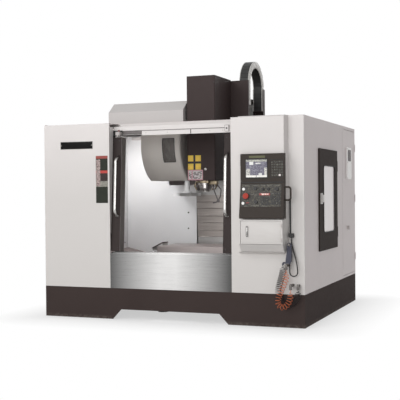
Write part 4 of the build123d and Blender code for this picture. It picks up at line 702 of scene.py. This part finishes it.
def route_curve(name, points, bevel):
    data = bpy.data.curves.new(name, "CURVE")
    data.dimensions = "3D"
    data.bevel_depth = bevel
    data.bevel_resolution = 5
    data.resolution_u = 16
    data.use_fill_caps = bevel > 0
    spline = data.splines.new("NURBS")
    spline.points.add(len(points) - 1)
    for target, p in zip(spline.points, points):
        target.co = (*at(*p), 1)
    spline.order_u = 3
    spline.use_endpoint_u = True
    return add_object(name, data)


def line_of(points, name):
    """Points read from a route's own spline, close together, in metres."""
    obj = route_curve(name, points, 0.0)
    obj.data.resolution_u = 64
    mesh = bpy.data.meshes.new_from_object(obj)
    line = [v.co.copy() for v in mesh.vertices]
    bpy.data.meshes.remove(mesh)
    bpy.data.objects.remove(obj)
    return line


def even(line, count):
    """Points at even steps along a line, and its length."""
    lengths = [0.0]
    for a, b in zip(line, line[1:]):
        lengths.append(lengths[-1] + (b - a).length)
    out = []
    k = 0
    for i in range(count):
        want = lengths[-1] * i / (count - 1)
        while k < len(line) - 2 and lengths[k + 1] < want:
            k += 1
        share = (want - lengths[k]) / max(1e-9, lengths[k + 1] - lengths[k])
        out.append(line[k].lerp(line[k + 1], share))
    return out, lengths[-1]


BEND = 40.0
CUT = BEND * math.tan(math.radians(22.5))
LOW = 584.0
GUN_X = 2930.0
GUN_Y = -70.0
BLACK_ROUTE = ((2939, -34, 940), (2939, -34, 893), (2950, -34, 840), (2966, -35, 786), (2981, -38, 733),
               (2995, -42, 684), (3004, -46, 636), (GUN_X + 2 * BEND, -50, LOW - CUT),
               (GUN_X + BEND + CUT, -56, LOW - BEND), (GUN_X + BEND - CUT, -62, LOW - BEND),
               (GUN_X, -68, LOW - CUT), (GUN_X, GUN_Y, 626), (GUN_X, GUN_Y, 668))
DARK_ROUTE = ((2858, GUN_Y, 655), (2858, GUN_Y, 606), (2846, -62, 552), (2826, -54, 494), (2806, -50, 434),
              (2798, -48, 374), (2808, -46, 316), (2840, -45, 266), (2894, -44, 242), (2948, -44, 256),
              (2988, -44, 296), (3009, -44, 350), (3009, -44, 404))
ORANGE_ROUTE = ((2946, -99, 408), (2946, -99, 354), (2938, -99, 302), (2914, -99, 256), (2876, -99, 226),
                (2836, -99, 228), (2812, -99, 262), (2812, -99, 308), (2828, -99, 356), (2852, -99, 408),
                (2878, -99, 462), (2898, -98, 514), (2900, -98, 564), (2900, -98, 612))
CURLY_HOSE = 0.006
PER_TURN = 24
DRAWN_IN_TURNS = 2.5


def helix_along(route, name, turns, radius, finish):
    """A curly hose: a helix wound round the route's own spline, drawn in to the line at both ends."""
    wind = radius - CURLY_HOSE / 2
    line, _ = even(line_of(route, name + "_line"), turns * PER_TURN + 1)
    side = None
    path = []
    last = len(line) - 1
    for i, p in enumerate(line):
        run = (line[min(i + 1, last)] - line[max(i - 1, 0)]).normalized()
        side = carried(run, side)
        other = run.cross(side)
        end = min(1.0, min(i, last - i) / (DRAWN_IN_TURNS * PER_TURN))
        reach = wind * end * end * (3 - 2 * end)
        turn = 2 * math.pi * i / PER_TURN
        path.append(p + side * (reach * math.cos(turn)) + other * (reach * math.sin(turn)))
    bm = bmesh.new()
    tube(bm, path, CURLY_HOSE / 2, sides=10)
    obj = add_mesh(name, bm, finish)
    length = sum((b - a).length for a, b in zip(path, path[1:]))
    return obj, path, length


def hoses():
    hose = route_curve("air_gun_hose", BLACK_ROUTE, 0.006)
    hose.data.materials.append(mats["black_rubber"])
    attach(hose, "root")
    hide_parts("black_hose")
    _, run = even(line_of(BLACK_ROUTE, "measured_line"), 3)
    for colour, route, turns, radius, slot in (("dark", DARK_ROUTE, 36, 0.034, "black_rubber"),
                                               ("orange", ORANGE_ROUTE, 22, 0.031, "orange_plastic")):
        obj, path, length = helix_along(route, f"{colour}_curly_hose", turns, radius, f"{colour}_hose")
        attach(obj, "root")
        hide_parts(f"{colour}_coil_hose")


# Details. Each piece but the drag chain rides on the CAD body that carries it on the machine.

DOOR_FRONT = 25.0
DOOR_BOTTOM = 760.0
DOOR_LEAN = math.radians(3.66)
DOOR_LEFT_X = 183.0
DOOR_RIGHT_X = 2167.0
DOOR_WIDTH = 760.0
BOX_FRONT = -140.0
BOX_FOOT = -200.0
BOX_SPLIT = 1505.0
BOX_BOTTOM = 1137.0
BOX_TILT = math.atan2(BOX_FRONT - BOX_FOOT, BOX_SPLIT - BOX_BOTTOM)
PLATE = 2.0
STOP_PLACE = (2500.0, 1366.0)
KNOB_PLACES = ((2595.0, 1446.0), (2828.0, 1440.0), (2608.0, 1305.0))
BUTTON_PLACES = ((2678.0, 1438.0), (2739.0, 1438.0))
SIDE_X = 3070.0
REAR_Y = 2500.0
ROOF_Z = 2200.0


def on_slope(x, z):
    """A frame on the tilted control plate of the operator box: X right, Y up the plate, Z out of it."""
    y = BOX_FRONT + (BOX_FOOT - BOX_FRONT) * (BOX_SPLIT - z) / (BOX_SPLIT - BOX_BOTTOM)
    right = Vector(RIGHT)
    out = Vector((0, -math.cos(BOX_TILT), math.sin(BOX_TILT)))
    up = out.cross(right)
    turn = Matrix((right, up, out)).transposed().to_4x4()
    return Matrix.Translation(Vector((x, y, z)) + out * PLATE) @ turn


def slope_slab(bm, x, z, width, height, thick, round_by=0.8):
    slab(bm, -width / 2, width / 2, -height / 2, height / 2, 0, thick, round_by, 1, on_slope(x, z))


def slope_lathe(bm, x, z, profile, sides):
    here = on_slope(x, z)
    lathe(bm, here.translation, here.to_3x3() @ Vector(UP), profile, sides)


def left_panel_details():
    piece("blank_nameplate", "nameplate_metal", "root", "black_plastic",
          (slab, 214, 627, -3, 0, 1911, 1996, 3, 2))
    piece("blank_instruction_sheet", "instruction_sheet", "root", "white_plastic",
          (slab, 665, 814, -1, 0, 1300, 1829, 0.4, 1))
    piece("nameplate_screws", "plated_screws", "root", "bright_handle",
          (screws, (226, 615), [-3], [1953], FRONT, 5))


def panel_returns():
    """The panels fold back beside the opening as far as the leaning doors let them."""
    gap = 9.0
    bottom, top = 960.0, 2046.0
    deep = [DOOR_FRONT + (z - DOOR_BOTTOM) * math.tan(DOOR_LEAN) - gap for z in (bottom, top)]
    outline = ((6, bottom), (deep[0], bottom), (deep[1], top), (101, 2150), (6, 2150))
    piece("panel_returns", "light_enamel", "root", "light_paint",
          *[(side_plate, x0, x1, outline) for x0, x1 in ((831.5, 834.7), (2275.3, 2278.5))],
          *[(slab, x0, x1, 254.5, 257.5, 2152, 2195.5, 0.6, 1) for x0, x1 in ((640, 834.7), (2275.3, 2420))])
    piece("roof_front_sheets", "side_enamel", "root", "light_paint",
          (slab, 4.5, 834.5, 5, 253.5, 2187.5, 2191.8, 0.6, 1),
          (slab, 2275.5, 3065.5, 5, 253.5, 2196, 2199.8, 0.6, 1))
    # A black plate paints the shade in the recess under the left end of the beam.
    piece("track_recess_shadow_plate", "black_rubber", "root", "black_plastic",
          (slab, 837, 950, 100.5, 103.5, 2051, 2112, 0.6, 1))


def door_switch():
    piece("door_interlock_switch", "interlock_block", "root", "light_paint",
          (slab, 898, 950, 30, 92, 2054, 2094, 4, 3),
          (slab, 904, 944, 27, 30, 2060, 2088, 2, 2))
    piece("interlock_cap", "maroon_cap", "root", "red_plastic",
          (lathe, (930, 56, 2094), UP, [(12, 0), (12, 12), (9, 16), (6, 22), (0, 24)]))
    piece("door_track_channel", "grille_plastic", "root", "black_plastic",
          (slab, 952, 1188, 112, 132, 2066, 2106, 2, 2),
          *[(slab, 952, 1188, 109, 112, z, z + 6, 1, 1) for z in (2066, 2100)])


def beam_details():
    rail_cover_y = 104
    bracket_box_y = 88
    piece("beam_joint_and_screw", "black_screws", "root", "black_plastic",
          (screw, (2199.5, bracket_box_y, 2096), FRONT, 9),
          (slab, 1774, 1782, rail_cover_y - 2.5, rail_cover_y + 0.5, 2052, 2098, 0.5, 1))
    piece("beam_cover_seals", "grille_plastic", "root", "black_rubber",
          (slab, 1190, 2177, 103.4, 106, 2099.5, 2106, 0.6, 1),
          (loop_bar, "front", 2178, 2221, 2063, 2129, 3, bracket_box_y, 2, 1.6))
    piece("rail_cover_screws", "plated_screws", "root", "bright_handle",
          (screws, (1240, 1500, 2000, 2150), [rail_cover_y], [2076], FRONT, 5))


def door_details():
    leaning = Matrix.Translation((0, DOOR_FRONT, DOOR_BOTTOM)) @ Matrix.Rotation(-DOOR_LEAN, 4, "X")
    doors = (("left", DOOR_LEFT_X, DOOR_LEFT_X + DOOR_WIDTH), ("right", DOOR_RIGHT_X, DOOR_RIGHT_X))
    for side, x0, handle_x in doors:
        body = f"{side}_door_body"
        middle = x0 + DOOR_WIDTH / 2
        piece(f"{side}_door_window_gasket", "black_rubber", body, "black_rubber",
              (loop_bar, "front", middle - 217, middle + 217, 298, 1102, 42, -1, 8, 5.5), before=leaning)
        places = [(x0 + u, w) for u in (30, DOOR_WIDTH - 30) for w in (40, 640, 1240)]
        # The handle leaves no room for a screw halfway up its edge.
        piece(f"{side}_door_screws", "black_screws", body, "black_plastic",
              *[(screw, (x, 0, w), FRONT, 6) for x, w in places if w != 640 or abs(x - handle_x) >= 60],
              before=leaning)


def work_area_details():
    places = [(1085, 1149), (1083, 946)] + [(x, z) for x in (2030, 2600) for z in (1149, 946)]
    piece("liner_screws", "black_screws", "root", "black_plastic",
          *[(screw, (x, 1700, z), FRONT, 10) for x, z in places],
          (screws, [220], (320, 760, 1200, 1600), (760, 1400, 2040), RIGHT, 8))
    piece("work_lamp_body", "light_enamel", "root", "light_paint",
          (slab, 300, 815, 1660, 1696, 2098, 2140, 6, 3))
    piece("table_end_guard", "brushed_steel", "table", "stainless",
          (wedge, ((938, 738), (938, 720), (1068, 708), (1068, 804)), 906, 1080))
    piece("table_guard_cap", "guard_steel", "table", "stainless",
          (wedge, ((930, 746), (930, 734), (1068, 796), (1068, 814)), 900, 1086))


def magazine_window():
    """The curved window in the round magazine cover, and its seal."""
    radius, middle_y, middle_z = 474.0, 1319.0, 1990.0
    x0, x1, thick = 1105.5, 1263.5, 5
    low, high = [math.asin((z - middle_z) / radius) for z in (1774, 2054)]
    steps = 14

    def arc(k, reach):
        angle = low + (high - low) * k / steps
        return middle_y - math.cos(angle) * reach, middle_z + math.sin(angle) * reach

    rows = []
    for k in range(steps + 1):
        outer, inner = arc(k, radius), arc(k, radius - thick)
        rows.append([(x0, *outer), (x1, *outer), (x1, *inner), (x0, *inner)])
    piece("magazine_window", "tinted_window", "root", "clear_glass", (skin, rows))
    loop = [(x0 + 1.5, k) for k in range(steps + 1)] + [(x1 - 1.5, k) for k in range(steps, -1, -1)]
    piece("magazine_window_seal", "black_rubber", "root", "black_rubber",
          (tube, [(x, *arc(k, radius + 2)) for x, k in loop], 3.5, 8, True))


def head_details():
    face = 900.0
    piece("head_plate_yellow", "yellow_plate", "head", "orange_plastic",
          (slab, 1415, 1579, face - 1.5, face, 1678, 1847, 0.5, 1))
    piece("head_plate_pale", "pale_plate", "head", "white_plastic",
          (slab, 1413, 1603, face - 1.5, face, 1554, 1675, 0.5, 1))
    piece("head_cover_plug", "plated_screws", "head", "bright_handle",
          (lathe, (1636, face, 1683), FRONT, [(17, 0), (17, 5), (13, 8), (6, 9), (0, 9)]))
    piece("head_cover_screws", "black_screws", "head", "black_plastic",
          (screws, (1412, 1748), [face], (1900, 2300, 2700), FRONT, 6))
    piece("coolant_manifold", "bronze_block", "head", "machined_steel",
          (slab, 1660, 1752, 960, 1040, 1500, 1549, 4, 2),
          (slab, 1600, 1660, 930, 990, 1516, 1549, 4, 2))
    paths = (((1690, 975, 1502), (1706, 975, 1450), (1738, 975, 1370), (1762, 975, 1306)),
             ((1738, 1010, 1502), (1790, 1005, 1440), (1786, 990, 1360), (1764, 975, 1306)),
             ((1764, 975, 1308), (1738, 975, 1290), (1700, 975, 1283)))
    piece("coolant_pipes", "coolant_pipe", "head", "machined_steel",
          *[(tube, even([Vector(p) for p in path], 16)[0], 7.5, 10) for path in paths],
          (slab, 1748, 1778, 962, 988, 1288, 1318, 4, 2))


def cable_links():
    """The drag chain: side plates with bars across, from the fixed leg over the bend to the head's shelf."""
    left, width, front, rear, thick = 1859.0, 121.0, 1490.0, 2120.0, 85.0
    right = left + width
    centre_z, fixed_z, head_z = 2726.0, 2440.0, 2480.0
    centre_y = (front + rear) / 2
    radius = (rear - front) / 2 - thick / 2
    legs = (centre_z - fixed_z, math.pi * radius, centre_z - head_z)
    links = 26
    pitch = sum(legs) / links

    def spot(run):
        if run < legs[0]:
            return Vector((0, rear - thick / 2, fixed_z + run)), 0.0
        run -= legs[0]
        if run < legs[1]:
            angle = run / radius
            y, z = centre_y + radius * math.cos(angle), centre_z + radius * math.sin(angle)
            return Vector((0, y, z)), angle
        run -= legs[1]
        return Vector((0, front + thick / 2, centre_z - run)), math.pi

    plates = []
    bars = []
    half = thick / 2 - 1
    for k in range(links):
        point, angle = spot((k + 0.5) * pitch)
        turn = Matrix.Translation(point) @ Matrix.Rotation(angle, 4, "X")
        step = 1.2 * (k % 2)
        for x0, x1 in ((left + step, left + 9), (right - 9, right - step)):
            plates.append((slab, x0, x1, -half, half, -pitch * 0.58, pitch * 0.58, 2.5, 2, turn))
        for y0 in (-half + 1.5, half - 8.5):
            bars.append((slab, left + 8, right - 8, y0, y0 + 7, -pitch * 0.55, pitch * 0.55, 1, 1, turn))
        for x in (left + 30, left + 56, left + 84):
            bars.append((slab, x, x + 14, -20, 12, -pitch * 0.5, pitch * 0.5, 5, 2, turn))
    chain = piece("cable_chain_links", "black_plastic", None, "black_plastic", *bars)
    sides = piece("cable_chain_sides", "chain_side_plastic", None, "black_plastic", *plates)
    for part in (chain, sides):
        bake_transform(part)
    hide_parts("cable_chain")


def operator_details():
    body = "operator_body"
    piece("screen_picture", "screen_picture", body, "display",
          (slab, 2492, 2718, BOX_FRONT - 4.2, BOX_FRONT - 3, 1562, 1743, 0.4, 1))
    piece("screen_heading_strip", "heading_strip", body, "dark_paint",
          (slab, 2525, 2697, BOX_FRONT - 1.5, BOX_FRONT, 1760, 1784, 0.6, 1))
    button = [(15, 0), (15, 3), (12, 4), (12, 15), (10, 17), (0, 17)]
    piece("control_plate_fittings", "black_plastic", body, "black_plastic",
          (loop_bar, "front", 2488, 2722, 1556, 1749, 9, BOX_FRONT - 3, 4, 3),
          (loop_bar, "front", 2752, 2886, 1560, 1740, 9, BOX_FRONT, 4, 2.5),
          (slab, 2440, 2892, BOX_FRONT - 5, BOX_FRONT, 1504, 1514, 2, 2),
          *[(slope_lathe, x, z, button, 20) for x, z in BUTTON_PLACES],
          (slope_lathe, *STOP_PLACE, [(17.2, 0), (36, 0), (36, 3), (33, 5), (17.2, 5)], 32),
          *[(slope_slab, 2676 + 27 * i, 1285 + 22 * j, 21, 16, 3) for i in range(3) for j in range(4)],
          *[(slope_slab, 2778 + 26 * i, 1290 + 25 * j, 20, 18, 3) for i in range(4) for j in range(5)])
    piece("override_display", "red_display", body, "display",
          (slope_slab, 2697, 1387, 116, 24, 2),
          (slope_slab, 2516, 1300, 30, 10, 1))
    ticks = []
    for x, z in KNOB_PLACES + BUTTON_PLACES:
        for k in range(11):
            turn = Matrix.Rotation(math.radians(-60 + 30 * k), 4, "Z")
            here = on_slope(x, z) @ turn @ Matrix.Translation((25, 0, 0))
            ticks.append((slab, -2.5, 2.5, -0.8, 0.8, 0, 0.5, 0, 1, here))
    rules = ((2480, 2530, 1474), (2566, 2620, 1478), (2650, 2700, 1478), (2716, 2770, 1478),
             (2800, 2852, 1478), (2546, 2584, 1387), (2590, 2618, 1380), (2774, 2800, 1392),
             (2806, 2846, 1392), (2560, 2640, 1270), (2480, 2520, 1266), (2660, 2736, 1266))
    lit_keys = ((2804, 1340), (2856, 1315), (2830, 1365), (2676, 1307), (2730, 1329))
    piece("control_plate_marks", "pale_marks", body, "white_plastic",
          *ticks,
          *[(slope_slab, (x0 + x1) / 2, z, x1 - x0, 2.2, 0.4, 0) for x0, x1, z in rules],
          *[(slope_slab, x, z, 5, 5, 3.6, 0.5) for x, z in lit_keys],
          *[(slope_slab, x, z, 12, 4, 3.5, 0.3) for x, z in ((2778, 1390), (2830, 1295))])
    head = [(4.5, 0), (4.5, 1.5), (3.4, 2.6), (2, 2.6), (1.8, 1), (0, 0.8)]
    piece("operator_box_screws", "black_screws", body, "black_plastic",
          (screws, (2444, 2888), [BOX_FRONT], (1530, 1790), FRONT, 4.5),
          *[(slope_lathe, x, z, head, 12) for z in (1480, 1268) for x in (2456, 2863)])


def storage_details():
    body = "storage_door_body"
    face = -171
    door = piece("storage_door_panel", "light_enamel", body, "light_paint",
                 (slab, 2436.2, 2874.5, face, face + 10, 875.2, 1111.8, 2, 2),
                 (slab, 2462, 2862, face - 1.5, face + 1, 893, 1094, 1.2, 2),
                 (slab, 2496, 2521, face - 7, face, 946, 1063, 3, 2))
    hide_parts("storage_door")
    hinge_x, hinge_y, hinge_zs, height = 2874.7, -180, (899, 1048), 40
    barrel = [(0, 0), (4.7, 0), (4.7, height), (0, height)]
    piece("storage_door_hinges", "switch_plastic", body, "light_paint",
          *[(lathe, (hinge_x, hinge_y, z), UP, barrel, 16) for z in hinge_zs],
          *[(slab, hinge_x - 6, hinge_x, hinge_y, hinge_y + 10, z, z + height, 1, 1) for z in hinge_zs])
    piece("storage_latch_ring", "black_screws", body, "black_plastic",
          (loop_bar, "front", 2500, 2517, 951, 1058, 8, face - 9, 5, 2.6))
    piece("storage_latch_pull", "polished_tube", body, "bright_handle",
          (slab, 2504, 2513, face - 12, face - 7, 966, 1043, 2, 2))


def side_details():
    face = SIDE_X + 14.3
    vent = SIDE_X + 18
    piece("side_window_gasket", "black_rubber", "side_door_body", "black_rubber",
          (loop_bar, "side", 778, 1312, 953, 1695, 47, face, 8, 5))
    piece("side_door_screws", "black_screws", "side_door_body", "black_plastic",
          (screws, [face], (612, 1428), (778, 1858), RIGHT, 6))
    piece("vent_grille", "grille_plastic", "cabinet_door_body", "black_plastic",
          (slab, vent, vent + 2, 2034, 2186, 1778, 1918, 3, 2),
          *[(slab, vent + 2, vent + 5, 2044, 2176, 1789 + 17 * i, 1797 + 17 * i, 1.2, 1) for i in range(7)])
    piece("vent_screws", "plated_screws", "cabinet_door_body", "bright_handle",
          (screws, [vent], (2000, 2220), (1570, 1760, 1934), RIGHT, 5))


def rear_and_roof_details():
    cover_z = 2230
    cover_xs = (420, 700, 980, 1250)
    piece("panel_screws", "plated_screws", "root", "bright_handle",
          (screws, (30, 500, 960, 2200, 2620, 3040), [REAR_Y], (372, 980, 1590, 2176), BACK, 7),
          (screws, [0], (60, 680, 1300, 1900, 2450), (372, 2176), LEFT, 7),
          (screws, cover_xs, [850], [cover_z], FRONT, 6),
          (screws, cover_xs, [1770], [cover_z], BACK, 6),
          (screws, [390], (900, 1200, 1500, 1730), [cover_z], LEFT, 6),
          (screws, (40, 3030), (300, 1300, 2440), [ROOF_Z], UP, 7),
          (screws, [2400], (300, 2440), [ROOF_Z], UP, 7))
    louvres = ((300, 720, 700), (300, 720, 1500), (2300, 2500, 1500))
    piece("rear_louvres", "light_enamel", "root", "light_paint",
          *[(slab, x0, x1, REAR_Y - 1, REAR_Y + 5, z0 + 26 * i, z0 + 26 * i + 12, 2.4, 2)
            for x0, x1, z0 in louvres for i in range(10)])


# Studio

WHITE = (1, 1, 1, 1)


def studio():
    scene = bpy.context.scene
    scene.view_settings.view_transform = "Standard"
    scene.world = bpy.data.worlds.new("studio")
    tree, surface = fresh_tree(scene.world, "ShaderNodeOutputWorld")
    room, backdrop = [node(tree, "ShaderNodeBackground", {"Color": WHITE, "Strength": strength}).outputs[0]
                      for strength in (0.43, 1.0)]
    tree.links.new(mix_shader(tree, white_rays(tree), room, backdrop), surface)

    reach = 30.0
    corners = [(-reach, -reach, 0), (reach, -reach, 0), (reach, reach, 0), (-reach, reach, 0)]
    floor_mesh = bpy.data.meshes.new("floor")
    floor_mesh.from_pydata(corners, [], [(0, 1, 2, 3)])
    floor_mesh.materials.append(floor_material())
    add_object("floor", floor_mesh)

    lamp("key", (-4.0, -9.3, 6.2), (0, 0, 1.2), 5.0, 340)
    lamp("front_fill", (0.8, -10.5, 2.4), (0, -1.2, 1.2), 4.0, 250)
    lamp("back_fill", (1.5, 8.0, 6.0), (0, 1.0, 1.2), 5.0, 240)
    lamp("work_light", at(330, 880, 2090), at(640, 1200, 190), 0.3, 11.5)


def white_rays(tree):
    """1 for rays that see the backdrop, straight or through a mirror or glass."""
    rays = tree.nodes.new("ShaderNodeLightPath").outputs
    kinds = math_node(tree, "MAXIMUM", rays["Is Camera Ray"], rays["Is Glossy Ray"])
    return math_node(tree, "MAXIMUM", kinds, rays["Is Transmission Ray"])


def floor_material():
    """Pale floor that takes the object's shadow near it and passes into the white backdrop further out."""
    made = bpy.data.materials.new("floor_white")
    tree, surface = fresh_tree(made, "ShaderNodeOutputMaterial")
    matt = node(tree, "ShaderNodeBsdfDiffuse", {"Color": (0.9, 0.9, 0.9, 1)}).outputs[0]
    glow = node(tree, "ShaderNodeEmission", {"Strength": 1.0}).outputs[0]
    squares = []
    for position, half in zip(axes(tree), (1.5, 1.3)):
        outside = math_node(tree, "SUBTRACT", math_node(tree, "ABSOLUTE", position), half)
        squares.append(math_node(tree, "POWER", math_node(tree, "MAXIMUM", outside, 0.0), 2.0))
    away = math_node(tree, "SQRT", math_node(tree, "ADD", *squares))
    factor = math_node(tree, "MULTIPLY", spread(tree, away, 0.0, 0.7, 0.55, 1.0), white_rays(tree))
    tree.links.new(mix_shader(tree, factor, matt, glow), surface)
    return made


def lamp(name, position, target, size, power):
    data = bpy.data.lights.new(name, "AREA")
    data.energy = power
    data.size = size
    obj = add_object(name, data)
    obj.location = position
    obj.rotation_euler = (Vector(target) - Vector(position)).to_track_quat("-Z", "Y").to_euler()


add_camera()
for make in (make_enamels, make_metals, make_plastics, make_printed_faces, hoses, dress,
             left_panel_details, panel_returns, door_switch, beam_details, door_details, work_area_details,
             magazine_window, head_details, cable_links, operator_details, storage_details, side_details,
             rear_and_roof_details, studio):
    make()
